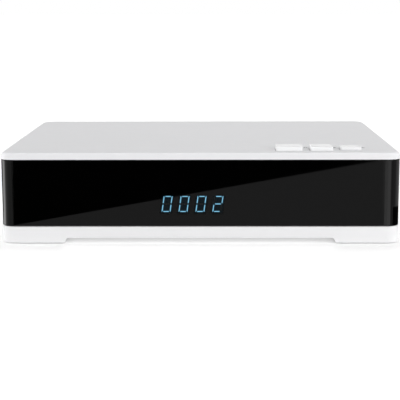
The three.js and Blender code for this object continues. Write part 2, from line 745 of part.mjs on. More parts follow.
function boardPilotHoles() {
  const radius = BOARD_SCREW_RADIUS + SEAT_GAP;
  const bottom = BOARD_TOP - BOARD_SCREW_LENGTH;
  return BOARD_SCREWS.map(({ x, y }) =>
    moved(rod("z", radius, bottom, BOARD_BOTTOM, SMALL_SIDES), x, y, 0),
  );
}

// Top cover: the plate, its front band over the black front, the side walls and the rear rim.
function topCover() {
  const bottom = BASE_TOP + SEAM;
  const skin = prism("z", caseOutline(0), bottom - 2 * TOP_EDGE_RADIUS, CASE_HEIGHT, {
    edge: TOP_EDGE_RADIUS,
  });
  const wingEnd = FRONT + WING_LENGTH + SEAM;
  const bandBottom = CASE_HEIGHT - COVER_BAND;
  const lip = PLATE_UNDERSIDE - REAR_LIP;
  const shell = cut(skin, [
    box(-CASE_WIDTH, CASE_WIDTH, FRONT - OVERRUN, REAR + OVERRUN, 0, bottom),
    prism("z", caseOutline(WALL), 0, PLATE_UNDERSIDE),
    box(-CASE_WIDTH, CASE_WIDTH, FRONT - OVERRUN, wingEnd, 0, bandBottom),
    box(-REAR_OPENING, REAR_OPENING, REAR - WALL - OVERRUN, REAR + OVERRUN, 0, lip),
    ...sideVents(),
    ...cardSlot(),
    ...keyOpenings(),
  ]);
  const whole = join([
    shell,
    ...coverBosses(),
    ...keyPosts(),
    ...coverRibs(),
    ...coverRetainers(),
  ]);
  return cut(whole, [...coverPilotHoles(), ...keyPilotHoles()]);
}

// Upright slots in both side walls.
function sideVents() {
  const half = VENT_WIDTH / 2;
  const y0 = FRONT + WING_LENGTH + VENT_END_MARGIN;
  const y1 = REAR - VENT_END_MARGIN;
  const inside = HALF_WIDTH - WALL - OVERRUN;
  const outside = HALF_WIDTH + OVERRUN;
  return spread((y0 + y1) / 2, y1 - y0, VENT_PITCH).flatMap((y) => {
    const slot = roundedRect(y - half, y + half, VENT_BOTTOM, VENT_BOTTOM + VENT_HEIGHT, half);
    return [
      prism("x", slot, inside, outside, { steps: SLOT_STEPS }),
      prism("x", slot, -outside, -inside, { steps: SLOT_STEPS }),
    ];
  });
}

// The card's slot through the right wall, in a shallow recess for the thumb.
function cardSlot() {
  const halfWidth = CARD_WIDTH / 2 + CARD_CLEARANCE;
  const halfHeight = CARD_SLOT_HEIGHT / 2;
  const outside = HALF_WIDTH + OVERRUN;
  const inside = HALF_WIDTH - WALL - OVERRUN;
  const thumb = roundedRect(
    ...[READER_Y - THUMB_WIDTH / 2, READER_Y + THUMB_WIDTH / 2],
    ...[CARD_Z - THUMB_HEIGHT / 2, CARD_Z + THUMB_HEIGHT / 2],
    THUMB_HEIGHT / 2,
  );
  const [y0, y1] = [READER_Y - halfWidth, READER_Y + halfWidth];
  return [
    box(inside, outside, y0, y1, CARD_Z - halfHeight, CARD_Z + halfHeight),
    prism("x", thumb, HALF_WIDTH - THUMB_DEPTH, outside),
  ];
}

// Sizes of one key in plan: its cap, grown on every side.
function keyBounds({ left, width, front, depth }, grown) {
  return [left - grown, left + width + grown, front - grown, front + depth + grown];
}

function keyOpenings() {
  return KEYS.map((key) => {
    const hole = roundedRect(...keyBounds(key, KEY_CLEARANCE), KEY_CORNER + KEY_CLEARANCE);
    const above = CASE_HEIGHT + OVERRUN;
    return prism("z", hole, PLATE_UNDERSIDE - OVERRUN, above, { steps: SLOT_STEPS });
  });
}

function coverBosses() {
  const bottom = BOSS_SPLIT + SEAT_GAP;
  const top = PLATE_UNDERSIDE + WALL / 2;
  return CASE_BOSSES.map(({ x, y }) =>
    moved(rod("z", COVER_BOSS_RADIUS, bottom, top, SMALL_SIDES), x, y, 0),
  );
}

function keyPosts() {
  const bottom = KEY_BOARD_TOP + SEAT_GAP;
  const top = PLATE_UNDERSIDE + WALL / 2;
  return KEY_SCREWS.map((x) =>
    moved(rod("z", KEY_POST_RADIUS, bottom, top, SMALL_SIDES), x, KEY_SCREW_Y, 0),
  );
}

// Ribs under the plate, from wall to wall between the bosses.
function coverRibs() {
  const reach = HALF_WIDTH - WALL / 2;
  const ribShares = [0.36, 0.56, 0.76];
  const bottom = PLATE_UNDERSIDE - COVER_RIB_HEIGHT;
  const top = PLATE_UNDERSIDE + WALL / 2;
  return ribShares.map((share) => {
    const y = FRONT + share * CASE_DEPTH;
    const half = COVER_RIB / 2;
    return box(-reach, reach, y - half, y + half, bottom, top);
  });
}

function coverRetainers() {
  const y1 = PANEL_INNER - SEAT_GAP;
  const top = PLATE_UNDERSIDE + WALL / 2;
  return [-1, 0, 1].map((side) => {
    const x = side * (REAR_OPENING - RETAINER_WIDTH);
    const half = RETAINER_WIDTH / 2;
    const bottom = PLATE_UNDERSIDE - RETAINER_HEIGHT;
    return box(x - half, x + half, y1 - RETAINER_THICKNESS, y1, bottom, top);
  });
}

// How high a case screw's tip reaches.
function caseScrewTip() {
  return PAD_PROUD + CASE_SCREW_DEPTH + CASE_SCREW_LENGTH;
}

function coverPilotHoles() {
  const radius = CASE_SCREW_RADIUS + SEAT_GAP;
  const top = caseScrewTip() + PILOT_DEPTH_MARGIN;
  return CASE_BOSSES.map(({ x, y }) => moved(rod("z", radius, BOSS_SPLIT, top, SMALL_SIDES), x, y, 0));
}

function keyPilotHoles() {
  const radius = SMALL_SCREW_RADIUS + SEAT_GAP;
  const top = KEY_BOARD_BOTTOM + SMALL_SCREW_LENGTH;
  return KEY_SCREWS.map((x) =>
    moved(rod("z", radius, KEY_BOARD_TOP, top, SMALL_SIDES), x, KEY_SCREW_Y, 0),
  );
}

// Black front: a clear smoked lens bent round both front corners.
function frontFascia() {
  const skin = prism("z", caseOutline(FASCIA_INSET), FASCIA_BOTTOM, FASCIA_TOP, { edge: LENS_EDGE });
  const hollow = caseOutline(FASCIA_INSET + LENS_THICKNESS);
  const wingEnd = FRONT + WING_LENGTH;
  return cut(skin, [
    prism("z", hollow, FASCIA_BOTTOM - OVERRUN, FASCIA_TOP + OVERRUN),
    box(-CASE_WIDTH, CASE_WIDTH, wingEnd, REAR + OVERRUN, 0, CASE_HEIGHT),
  ]);
}

// Carrier behind the lens: it stands on the floor, and it holds the front board and the key board.
function fasciaFrame() {
  const bottom = FLOOR_TOP + SEAT_GAP;
  const top = PLATE_UNDERSIDE - SEAT_GAP;
  const inset = FRAME_FRONT - FRONT;
  const wall = cut(prism("z", caseOutline(inset), bottom, top), [
    prism("z", caseOutline(inset + FRAME_WALL), bottom - OVERRUN, top + OVERRUN),
    box(-CASE_WIDTH, CASE_WIDTH, FRONT + WING_LENGTH, REAR + OVERRUN, 0, CASE_HEIGHT),
  ]);
  const [bossFrom, bossTo] = [FRAME_BACK - FRAME_WALL / 2, FRONT_BOARD_Y - SEAT_GAP];
  const boss = rod("y", FRAME_BOSS_RADIUS, bossFrom, bossTo, SMALL_SIDES);
  const bosses = FRONT_SCREWS.map((x) => moved(boss, x, 0, DISPLAY_Z));
  const shelfTop = KEY_BOARD_BOTTOM - SEAT_GAP;
  const shelf = box(
    ...[KEY_BOARD_LEFT + KEY_SHELF_INSET, KEY_BOARD_RIGHT - KEY_SHELF_INSET],
    ...[FRAME_BACK - FRAME_WALL / 2, FRAME_BACK + KEY_SHELF_DEPTH],
    ...[shelfTop - FRAME_RIB, shelfTop],
  );
  const infraredWindow = rod("y", INFRARED_WINDOW_RADIUS, FRONT, FRAME_BACK + OVERRUN, SMALL_SIDES);
  return cut(join([wall, ...bosses, shelf, ...frameRibs(shelfTop)]), [
    displayWindow(),
    moved(infraredWindow, INFRARED_X, 0, DISPLAY_Z),
    ...frontPilotHoles(),
  ]);
}

function displayWindow() {
  const halfWidth = DISPLAY_WIDTH / 2 + SEAT_GAP;
  const halfHeight = DISPLAY_HEIGHT / 2 + SEAT_GAP;
  return box(
    ...[-DISPLAY_OFFSET - halfWidth, halfWidth - DISPLAY_OFFSET],
    ...[FRONT, FRAME_BACK + OVERRUN],
    ...[DISPLAY_Z - halfHeight, DISPLAY_Z + halfHeight],
  );
}

// Upright ribs on the carrier's back, left of the front board and right of it.
function frameRibs(top) {
  const half = FRAME_RIB / 2;
  const bottom = BASE_TOP;
  const leftSpan = BOSS_X - FRONT_BOARD_LEFT - FRAME_RIB_PITCH;
  const rightSpan = BOSS_X - FRONT_BOARD_RIGHT - FRAME_RIB_PITCH;
  const places = [
    ...spread(-(BOSS_X + FRONT_BOARD_LEFT) / 2, leftSpan, FRAME_RIB_PITCH),
    ...spread((BOSS_X + FRONT_BOARD_RIGHT) / 2, rightSpan, FRAME_RIB_PITCH),
  ];
  const [y0, y1] = [FRAME_BACK - FRAME_WALL / 2, FRAME_BACK + FRAME_RIB_DEPTH];
  return places.map((x) => box(x - half, x + half, y0, y1, bottom, top - FRAME_RIB));
}

function frontPilotHoles() {
  const radius = SMALL_SCREW_RADIUS + SEAT_GAP;
  const from = FRONT_BOARD_BACK - SMALL_SCREW_LENGTH;
  return FRONT_SCREWS.map((x) =>
    moved(rod("y", radius, from, FRONT_BOARD_BACK, SMALL_SIDES), x, 0, DISPLAY_Z),
  );
}

// Display: a block with a pocket for each lit segment, drawn about its middle and facing the front.
function displayModule() {
  const body = box(
    ...[-DISPLAY_WIDTH / 2, DISPLAY_WIDTH / 2],
    ...[0, DISPLAY_DEPTH],
    ...[-DISPLAY_HEIGHT / 2, DISPLAY_HEIGHT / 2],
  );
  const pockets = [];
  for (const x of spread(0, (DIGIT_COUNT - 1) * DIGIT_PITCH, DIGIT_PITCH)) {
    for (const outline of [...segmentOutlines(), pointOutline()]) {
      const pocket = prism("y", outline, -OVERRUN, SEGMENT_DEPTH, { steps: POINT_STEPS });
      pockets.push(moved(pocket, x, 0, 0));
    }
  }
  return cut(body, pockets);
}

// The seven strokes of a digit about its middle, each a bar with pointed ends, leaning to the right.
function segmentOutlines() {
  const x = (DIGIT_WIDTH - STROKE) / 2;
  const z = (DIGIT_HEIGHT - STROKE) / 2;
  const strokes = [
    [[-x, z], [x, z]],
    [[x, 0], [x, z]],
    [[x, -z], [x, 0]],
    [[-x, -z], [x, -z]],
    [[-x, -z], [-x, 0]],
    [[-x, 0], [-x, z]],
    [[-x, 0], [x, 0]],
  ];
  return strokes.map(([from, to]) => strokeOutline(from, to));
}

function strokeOutline(from, to) {
  const start = new THREE.Vector2(...from);
  const end = new THREE.Vector2(...to);
  const along = end.clone().sub(start).normalize();
  const across = new THREE.Vector2(-along.y, along.x).multiplyScalar(STROKE / 2);
  const tip = start.clone().addScaledVector(along, STROKE_GAP);
  const far = end.clone().addScaledVector(along, -STROKE_GAP);
  const shoulder = along.clone().multiplyScalar(STROKE / 2);
  const near = tip.clone().add(shoulder);
  const back = far.clone().sub(shoulder);
  const corners = [
    tip,
    near.clone().sub(across),
    back.clone().sub(across),
    far,
    back.clone().add(across),
    near.clone().add(across),
  ];
  return new THREE.Shape(corners.map(leaned));
}

function leaned(point) {
  return new THREE.Vector2(point.x + point.y * Math.tan(DIGIT_SLANT), point.y);
}

function pointOutline() {
  const x = DIGIT_WIDTH / 2 + POINT_OFFSET;
  const place = leaned(new THREE.Vector2(x, POINT_RADIUS - DIGIT_HEIGHT / 2));
  const shape = new THREE.Shape();
  shape.absarc(place.x, place.y, POINT_RADIUS, 0, 2 * Math.PI, false);
  return shape;
}

function frontBoard() {
  const outline = roundedRect(
    ...[-FRONT_BOARD_LEFT, FRONT_BOARD_RIGHT],
    ...[FRONT_BOARD_BOTTOM - DISPLAY_Z, FRONT_BOARD_TOP - DISPLAY_Z],
    BOARD_THICKNESS,
  );
  const board = prism("y", outline, 0, BOARD_THICKNESS, { steps: SLOT_STEPS });
  const radius = SMALL_SCREW_RADIUS + SEAT_GAP;
  const hole = rod("y", radius, -OVERRUN, BOARD_THICKNESS + OVERRUN, SMALL_SIDES);
  return cut(board, FRONT_SCREWS.map((x) => moved(hole, x, 0, 0)));
}

// Infrared receiver, with its board face at y zero and its domed lens towards the front.
function infraredReceiver() {
  const body = box(
    ...[-INFRARED_WIDTH / 2, INFRARED_WIDTH / 2],
    ...[-INFRARED_DEPTH, 0],
    ...[-INFRARED_HEIGHT / 2, INFRARED_HEIGHT / 2],
  );
  const dome = new THREE.SphereGeometry(INFRARED_LENS_RADIUS, SMALL_SIDES, SMALL_SIDES / 2);
  dome.translate(0, -INFRARED_DEPTH, 0);
  return body.add(solid(dome));
}

// Key: a cap with soft edges, a flange that holds it under the plate, and a stem over the switch.
function keyCap(key) {
  const [x0, x1, y0, y1] = keyBounds(key, 0);
  const top = CASE_HEIGHT + key.rise;
  const cap = prism("z", roundedRect(x0, x1, y0, y1, KEY_CORNER), FLANGE_TOP - KEY_FLANGE, top, {
    edge: KEY_EDGE,
    steps: SLOT_STEPS,
  });
  const below = box(x0, x1, y0, y1, 0, FLANGE_TOP - KEY_FLANGE / 2);
  const flange = roundedRect(...keyBounds(key, KEY_FLANGE), KEY_CORNER);
  const stemHalf = KEY_STEM_WIDTH / 2;
  const [x, y] = [(x0 + x1) / 2, (y0 + y1) / 2];
  return join([
    cut(cap, [below]),
    prism("z", flange, FLANGE_TOP - KEY_FLANGE, FLANGE_TOP, { steps: SLOT_STEPS }),
    box(x - stemHalf, x + stemHalf, y - stemHalf, y + stemHalf, STEM_BOTTOM, FLANGE_TOP),
  ]);
}

function keyMiddle(key) {
  const [x0, x1, y0, y1] = keyBounds(key, 0);
  return { x: (x0 + x1) / 2, y: (y0 + y1) / 2 };
}

// Switch body about its own middle, standing on height zero, with a blind bore for the plunger.
function switchBody() {
  const half = SWITCH_SIDE / 2;
  const legs = [-1, 1].flatMap((sideX) =>
    [-1, 1].map((sideY) => {
      const x = sideX * half;
      const y = (sideY * SWITCH_SIDE) / 3;
      const reach = SWITCH_LEG / 2;
      return box(x - reach, x + reach, y - reach, y + reach, 0, SWITCH_LEG / 2);
    }),
  );
  const floor = SWITCH_HEIGHT - PLUNGER_DEPTH - KEY_TRAVEL - SEAT_GAP;
  const bore = rod("z", PLUNGER_RADIUS + SEAT_GAP, floor, SWITCH_HEIGHT + OVERRUN, SMALL_SIDES);
  return cut(join([box(-half, half, -half, half, 0, SWITCH_HEIGHT), ...legs]), [bore]);
}

function switchPlunger() {
  return rod("z", PLUNGER_RADIUS, -PLUNGER_DEPTH, PLUNGER_PROUD, SMALL_SIDES);
}

function keyBoard() {
  const outline = roundedRect(
    ...[KEY_BOARD_LEFT, KEY_BOARD_RIGHT],
    ...[KEY_BOARD_Y, KEY_BOARD_REAR],
    BOARD_THICKNESS,
  );
  const board = prism("z", outline, KEY_BOARD_BOTTOM, KEY_BOARD_TOP, { steps: SLOT_STEPS });
  const hole = rod("z", SMALL_SCREW_RADIUS + SEAT_GAP, 0, CASE_HEIGHT, SMALL_SIDES);
  return cut(board, KEY_SCREWS.map((x) => moved(hole, x, KEY_SCREW_Y, 0)));
}

function mainBoard() {
  const outline = roundedRect(
    ...[-BOARD_HALF_WIDTH, BOARD_HALF_WIDTH],
    ...[BOARD_FRONT, BOARD_REAR],
    BOARD_THICKNESS,
  );
  const board = prism("z", outline, BOARD_BOTTOM, BOARD_TOP, { steps: SLOT_STEPS });
  const hole = rod("z", BOARD_SCREW_RADIUS + SEAT_GAP, 0, CASE_HEIGHT, SMALL_SIDES);
  return cut(board, BOARD_SCREWS.map(({ x, y }) => moved(hole, x, y, 0)));
}

// Components of the main board, each about its own middle and standing on height zero.
function processor() {
  const half = CHIP_SIDE / 2;
  return prism("z", chamferedRect(-half, half, -half, half, CHIP_HEIGHT), 0, CHIP_HEIGHT);
}

function heatsink() {
  const half = HEATSINK_SIDE / 2;
  const base = box(-half, half, -half, half, 0, HEATSINK_BASE);
  const pitch = (HEATSINK_SIDE - FIN_THICKNESS) / (FIN_COUNT - 1);
  const fins = Array.from({ length: FIN_COUNT }, (_, i) => {
    const x = -half + i * pitch;
    return box(x, x + FIN_THICKNESS, -half, half, HEATSINK_BASE / 2, HEATSINK_HEIGHT);
  });
  return join([base, ...fins]);
}

function memoryChip() {
  const [halfX, halfY] = [MEMORY_WIDTH / 2, MEMORY_DEPTH / 2];
  const body = box(-halfX, halfX, -halfY, halfY, 0, MEMORY_HEIGHT);
  const legSpan = MEMORY_DEPTH - MEMORY_LEG_PITCH;
  const legs = spread(0, legSpan, MEMORY_LEG_PITCH).map((y) => {
    const half = MEMORY_LEG / 2;
    return box(-halfX - MEMORY_LEG, halfX + MEMORY_LEG, y - half, y + half, 0, MEMORY_HEIGHT / 4);
  });
  return join([body, ...legs]);
}

// Electrolytic capacitor: a can with a crimped groove and a scored top.
function capacitor() {
  const radius = CAPACITOR_RADIUS;
  const groove = CAPACITOR_GROOVE;
  const can = turned(
    "z",
    [
      [0, 0],
      [radius, 0],
      [radius, 2 * groove],
      [radius - groove, 3 * groove],
      [radius, 4 * groove],
      [radius, CAPACITOR_HEIGHT - groove],
      [radius - groove, CAPACITOR_HEIGHT],
      [0, CAPACITOR_HEIGHT],
    ],
    LARGE_SIDES,
  );
  const [arm, half] = [radius * CAPACITOR_SCORE_SHARE, CAPACITOR_SCORE / 2];
  const [bottom, top] = [CAPACITOR_HEIGHT - half, CAPACITOR_HEIGHT + OVERRUN];
  return cut(can, [box(-arm, arm, -half, half, bottom, top), box(-half, half, -arm, arm, bottom, top)]);
}

// Shielded coil: a square ferrite with cut corners and a round window that shows the winding.
function supplyCoil() {
  const half = COIL_SIDE / 2;
  const block = prism("z", chamferedRect(-half, half, -half, half, COIL_CHAMFER), 0, COIL_HEIGHT);
  const ring = cut(rod("z", COIL_RADIUS, COIL_HEIGHT - COIL_WINDOW / 2, COIL_HEIGHT + OVERRUN, LARGE_SIDES), [
    rod("z", COIL_WINDOW, 0, COIL_HEIGHT + 2 * OVERRUN, LARGE_SIDES),
  ]);
  return cut(block, [ring]);
}

// Card reader: a flat frame round the card, open at its mouth, with a window over the contacts.
function cardReader() {
  const x1 = HALF_WIDTH - WALL - READER_MOUTH_GAP;
  const x0 = x1 - READER_LENGTH;
  const halfCard = CARD_WIDTH / 2 + CARD_CLEARANCE;
  const [y0, y1] = [READER_Y - halfCard, READER_Y + halfCard];
  const top = READER_BOTTOM + READER_HEIGHT;
  const slotHalf = CARD_SLOT_HEIGHT / 2;
  const body = box(x0, x1, READER_Y - READER_HALF, READER_Y + READER_HALF, READER_BOTTOM, top);
  const slot = box(x1 - CARD_DEPTH, x1 + OVERRUN, y0, y1, CARD_Z - slotHalf, CARD_Z + slotHalf);
  const half = READER_WINDOW / 2;
  const contactX = (x0 + x1) / 2;
  const window = box(
    ...[contactX - half, contactX + half],
    ...[READER_Y - half, READER_Y + half],
    ...[CARD_Z, top + OVERRUN],
  );
  const bevel = polygon([
    [x1 + OVERRUN, CARD_Z - slotHalf - CARD_CLEARANCE - OVERRUN],
    [x1 + OVERRUN, CARD_Z + slotHalf + CARD_CLEARANCE + OVERRUN],
    [x1 - CARD_CLEARANCE, CARD_Z + slotHalf],
    [x1 - CARD_CLEARANCE, CARD_Z - slotHalf],
  ]);
  return cut(body, [slot, window, prism("y", bevel, y0, y1)]);
}

// Header for a ribbon: a trough along x, open upwards, standing on height zero.
function header() {
  const [halfX, halfY] = [HEADER_LENGTH / 2, HEADER_WIDTH / 2];
  const trough = box(-halfX, halfX, -halfY, halfY, 0, HEADER_HEIGHT);
  return cut(trough, [
    box(
      ...[-halfX + HEADER_WALL, halfX - HEADER_WALL],
      ...[-halfY + HEADER_WALL, halfY - HEADER_WALL],
      ...[HEADER_WALL, HEADER_HEIGHT + OVERRUN],
    ),
  ]);
}

// A flat ribbon that follows a curve drawn in y and z.
function ribbon(curve, x, width, thickness) {
  const middle = curve.getPoints(RIBBON_STEPS);
  const sides = [1, -1].map((side) =>
    middle.map((point, i) => {
      const along = curve.getTangent(i / RIBBON_STEPS);
      const across = new THREE.Vector2(-along.y, along.x);
      return point.clone().addScaledVector(across, (side * thickness) / 2);
    }),
  );
  const outline = new THREE.Shape([...sides[0], ...sides[1].reverse()]);
  return prism("x", outline, x - width / 2, x + width / 2);
}

const HEADER_Z = DISPLAY_Z - HEADER_DROP;
const MAIN_HEADER_Y = BOARD_FRONT + MAIN_HEADER_INSET;

// Both ends of this ribbon stand on the floors of their headers.
function frontRibbon() {
  const seat = 2 * SEAT_GAP + HEADER_WALL;
  const from = new THREE.Vector2(FRONT_BOARD_BACK + seat, HEADER_Z);
  const to = new THREE.Vector2(MAIN_HEADER_Y, BOARD_TOP + seat);
  const curve = new THREE.CubicBezierCurve(
    from,
    new THREE.Vector2(from.x + RIBBON_BOW, from.y),
    new THREE.Vector2(to.x, to.y + RIBBON_BOW),
    to,
  );
  return ribbon(curve, -DISPLAY_OFFSET, RIBBON_WIDTH, RIBBON_THICKNESS);
}

function keyRibbon() {
  const rise = KEY_BOARD_BOTTOM - DISPLAY_Z;
  const from = new THREE.Vector2((KEY_BOARD_Y + KEY_BOARD_REAR) / 2, KEY_BOARD_BOTTOM - SEAT_GAP);
  const to = new THREE.Vector2(FRONT_BOARD_BACK + SEAT_GAP, (DISPLAY_Z + FRONT_BOARD_TOP) / 2);
  const curve = new THREE.CubicBezierCurve(
    from,
    new THREE.Vector2(from.x, from.y - rise / 3),
    new THREE.Vector2((from.x + to.x) / 2, to.y),
    to,
  );
  return ribbon(curve, KEY_BOARD_LEFT + KEY_RIBBON_INSET, KEY_RIBBON_WIDTH, RIBBON_THICKNESS);
}

// Rear sockets. Each is drawn about its own middle, with y zero at the panel's outer face and z
// zero on the main board. Each has its width along the panel, and the window it needs there.
function rectWindow(halfWidth, bottom, top) {
  return box(
    ...[-halfWidth - SEAT_GAP, halfWidth + SEAT_GAP],
    ...[-PANEL_THICKNESS - OVERRUN, OVERRUN],
    ...[bottom - SEAT_GAP, top + SEAT_GAP],
  );
}

function roundWindow(radius, x, z) {
  const hole = rod("y", radius + SEAT_GAP, -PANEL_THICKNESS - OVERRUN, OVERRUN, LARGE_SIDES);
  return moved(hole, x, 0, z);
}

const AERIALS = [-AERIAL_SPACING / 2, AERIAL_SPACING / 2];
const COLLAR_FRONT = -PANEL_THICKNESS - SEAT_GAP;
const TUNER_REAR = COLLAR_FRONT - AERIAL_COLLAR - SEAT_GAP;

function tunerCan() {
  const [half, lid] = [TUNER_WIDTH / 2 - TUNER_LID, TUNER_WIDTH / 2];
  const [front, rear] = [TUNER_REAR - TUNER_DEPTH, TUNER_REAR];
  const lidBottom = SEAT_GAP + TUNER_HEIGHT - TUNER_LID_HEIGHT;
  return join([
    box(-half, half, front + TUNER_LID, rear - TUNER_LID, SEAT_GAP, SEAT_GAP + TUNER_HEIGHT - TUNER_LID / 2),
    box(-lid, lid, front, rear, lidBottom, SEAT_GAP + TUNER_HEIGHT),
  ]);
}

// Aerial socket: a collar against the tuner, and a barrel through the panel with a shallow mouth
// round the hole for the cable's inner wire.
function aerialSocket() {
  const tip = CONNECTOR_REACH + REAR - PANEL_OUTER;
  const bottom = tip - AERIAL_MOUTH_DEPTH;
  const profile = [
    [0, COLLAR_FRONT - AERIAL_COLLAR],
    [AERIAL_COLLAR_RADIUS, COLLAR_FRONT - AERIAL_COLLAR],
    [AERIAL_COLLAR_RADIUS, COLLAR_FRONT],
    [AERIAL_RADIUS, COLLAR_FRONT],
    [AERIAL_RADIUS, tip - AERIAL_CHAMFER],
    [AERIAL_RADIUS - AERIAL_CHAMFER, tip],
    [AERIAL_MOUTH, tip],
    [AERIAL_MOUTH, bottom],
    [AERIAL_PIN_HOLE, bottom],
    [AERIAL_PIN_HOLE, tip - AERIAL_PIN_DEPTH],
    [0, tip - AERIAL_PIN_DEPTH],
  ];
  return turned("y", profile, LARGE_SIDES);
}

function aerialNut() {
  const radius = NUT_FLATS / Math.sqrt(3);
  const corners = Array.from({ length: 6 }, (_, i) => {
    const angle = (i * Math.PI) / 3;
    return [radius * Math.cos(angle), radius * Math.sin(angle)];
  });
  const hex = prism("y", polygon(corners), SEAT_GAP, SEAT_GAP + NUT_HEIGHT);
  const cone = turned(
    "y",
    [
      [0, 0],
      [radius, 0],
      [radius, SEAT_GAP + NUT_HEIGHT - AERIAL_CHAMFER],
      [radius - 2 * AERIAL_CHAMFER, SEAT_GAP + NUT_HEIGHT],
      [0, SEAT_GAP + NUT_HEIGHT],
    ],
    LARGE_SIDES,
  );
  return cut(hex.intersect(cone), [rod("y", AERIAL_RADIUS + SEAT_GAP, 0, NUT_FLATS, LARGE_SIDES)]);
}

// The plug's skirt goes into a channel of this outline, which has one slanted side.
function scartOutline(inset) {
  const [halfX, halfZ] = [SCART_SHELL_WIDTH / 2 - inset, SCART_SHELL_HEIGHT / 2 - inset];
  const slant = SCART_SHELL_SLANT;
  return polygon([
    [-halfX, -halfZ],
    [halfX - slant, -halfZ],
    [halfX, -halfZ + slant],
    [halfX, halfZ],
    [-halfX, halfZ],
  ]);
}

function scartSocket() {
  const half = SCART_WIDTH / 2;
  const bottom = SEAT_GAP;
  const front = SOCKET_PROUD;
  const body = box(-half, half, -SCART_DEPTH, front, bottom, bottom + SCART_HEIGHT);
  const channel = cut(prism("y", scartOutline(0), front - SCART_CHANNEL_DEPTH, front + OVERRUN), [
    prism("y", scartOutline(SCART_CHANNEL), -SCART_DEPTH, front + 2 * OVERRUN),
  ]);
  return cut(body, [moved(channel, 0, 0, SCART_AXIS), ...contactSlots(front)]);
}

// Two rows of contact slots, half a pitch apart.
function contactSlots(front) {
  const slots = [];
  for (const row of [-1, 1]) {
    for (let i = 0; i < CONTACT_ROW; i += 1) {
      const x = (i - (CONTACT_ROW - 1) / 2 + row / 4) * CONTACT_PITCH;
      const z = SCART_AXIS + row * CONTACT_ROW_OFFSET;
      const [halfX, halfZ] = [CONTACT_WIDTH / 2, CONTACT_HEIGHT / 2];
      const depth = front - CONTACT_DEPTH;
      slots.push(box(x - halfX, x + halfX, depth, front + OVERRUN, z - halfZ, z + halfZ));
    }
  }
  return slots;
}

// A block with one or more phono sockets above each other.
function phonoTop(count) {
  return PHONO_AXIS + (count - 1) * PHONO_PITCH + PHONO_MARGIN;
}

function phonoBlock(count) {
  const half = PHONO_BLOCK_WIDTH / 2;
  const rear = -PANEL_THICKNESS - SEAT_GAP;
  const block = box(-half, half, rear - PHONO_BLOCK_DEPTH, rear, SEAT_GAP, phonoTop(count));
  const inner = PHONO_LENGTH - PHONO_CORE;
  const profile = [
    [0, rear - PHONO_BORE],
    [PHONO_RADIUS, rear - PHONO_BORE],
    [PHONO_RADIUS, PHONO_LENGTH],
    [PHONO_BORE, PHONO_LENGTH],
    [PHONO_BORE, inner],
    [PHONO_CORE, inner],
    [PHONO_CORE, PHONO_LENGTH - SEAT_GAP],
    [PHONO_PIN, PHONO_LENGTH - SEAT_GAP],
    [PHONO_PIN, 0],
    [0, 0],
  ];
  const sockets = Array.from({ length: count }, (_, i) =>
    moved(turned("y", profile, LARGE_SIDES), 0, 0, PHONO_AXIS + i * PHONO_PITCH),
  );
  return join([block, ...sockets]);
}

function phonoWindows(count) {
  const heights = Array.from({ length: count }, (_, i) => PHONO_AXIS + i * PHONO_PITCH);
  return join(heights.map((z) => roundWindow(PHONO_RADIUS, 0, z)));
}

// High-definition video socket: a bent shell with two lower corners cut off, round a tongue.
function hdmiOutline(inset) {
  const half = HDMI_WIDTH / 2 - inset;
  const [bottom, top] = [SEAT_GAP + inset, SEAT_GAP + HDMI_HEIGHT - inset];
  return polygon([
    [-half + HDMI_CHAMFER, bottom],
    [half - HDMI_CHAMFER, bottom],
    [half, bottom + HDMI_CHAMFER],
    [half, top],
    [-half, top],
    [-half, bottom + HDMI_CHAMFER],
  ]);
}

function hdmiSocket() {
  const front = SOCKET_PROUD;
  const shell = cut(prism("y", hdmiOutline(0), front - HDMI_DEPTH, front), [
    prism("y", hdmiOutline(HDMI_SHELL), front - MOUTH_DEPTH, front + OVERRUN),
  ]);
  const middle = SEAT_GAP + HDMI_HEIGHT / 2;
  const half = HDMI_TONGUE_WIDTH / 2;
  const reach = HDMI_TONGUE / 2;
  return shell.add(
    box(-half, half, front - MOUTH_DEPTH - OVERRUN, front - TONGUE_SETBACK, middle - reach, middle + reach),
  );
}

function usbSocket() {
  const front = SOCKET_PROUD;
  const half = USB_WIDTH / 2;
  const [bottom, top] = [SEAT_GAP, SEAT_GAP + USB_HEIGHT];
  const mouth = box(
    ...[-half + USB_SHELL, half - USB_SHELL],
    ...[front - MOUTH_DEPTH, front + OVERRUN],
    ...[bottom + USB_SHELL, top - USB_SHELL],
  );
  const shell = cut(box(-half, half, front - USB_DEPTH, front, bottom, top), [mouth]);
  const tongueHalf = USB_TONGUE_WIDTH / 2;
  const tongueTop = top - USB_SHELL - USB_TONGUE / 2;
  return shell.add(
    box(
      ...[-tongueHalf, tongueHalf],
      ...[front - MOUTH_DEPTH - OVERRUN, front - TONGUE_SETBACK],
      ...[tongueTop - USB_TONGUE, tongueTop],
    ),
  );
}

// Low-voltage inlet: a block with a round mouth and a centre pin.
function powerInlet() {
  const half = INLET_WIDTH / 2;
  const front = SOCKET_PROUD;
  const block = box(-half, half, front - INLET_DEPTH, front, SEAT_GAP, INLET_HEIGHT);
  const mouth = cut(rod("y", INLET_BORE, front - INLET_BORE_DEPTH, front + OVERRUN, LARGE_SIDES), [
    rod("y", INLET_PIN, front - INLET_DEPTH, front - TONGUE_SETBACK, SMALL_SIDES),
  ]);
  return cut(block, [moved(mouth, 0, 0, INLET_AXIS)]);
}

// Rocker switch, about the rocker's pivot, with y along the panel's outward direction.
const FLANGE_FACE = SEAT_GAP + SWITCH_FLANGE;
const PIVOT_Y = FLANGE_FACE - PIVOT_SETBACK;
const ROCKER_TIP = ROCKER_FACE + ROCKER_HALF_HEIGHT * Math.tan(ROCKER_TILT);
const ROCKER_SWEEP = Math.hypot(ROCKER_TIP, ROCKER_HALF_HEIGHT);

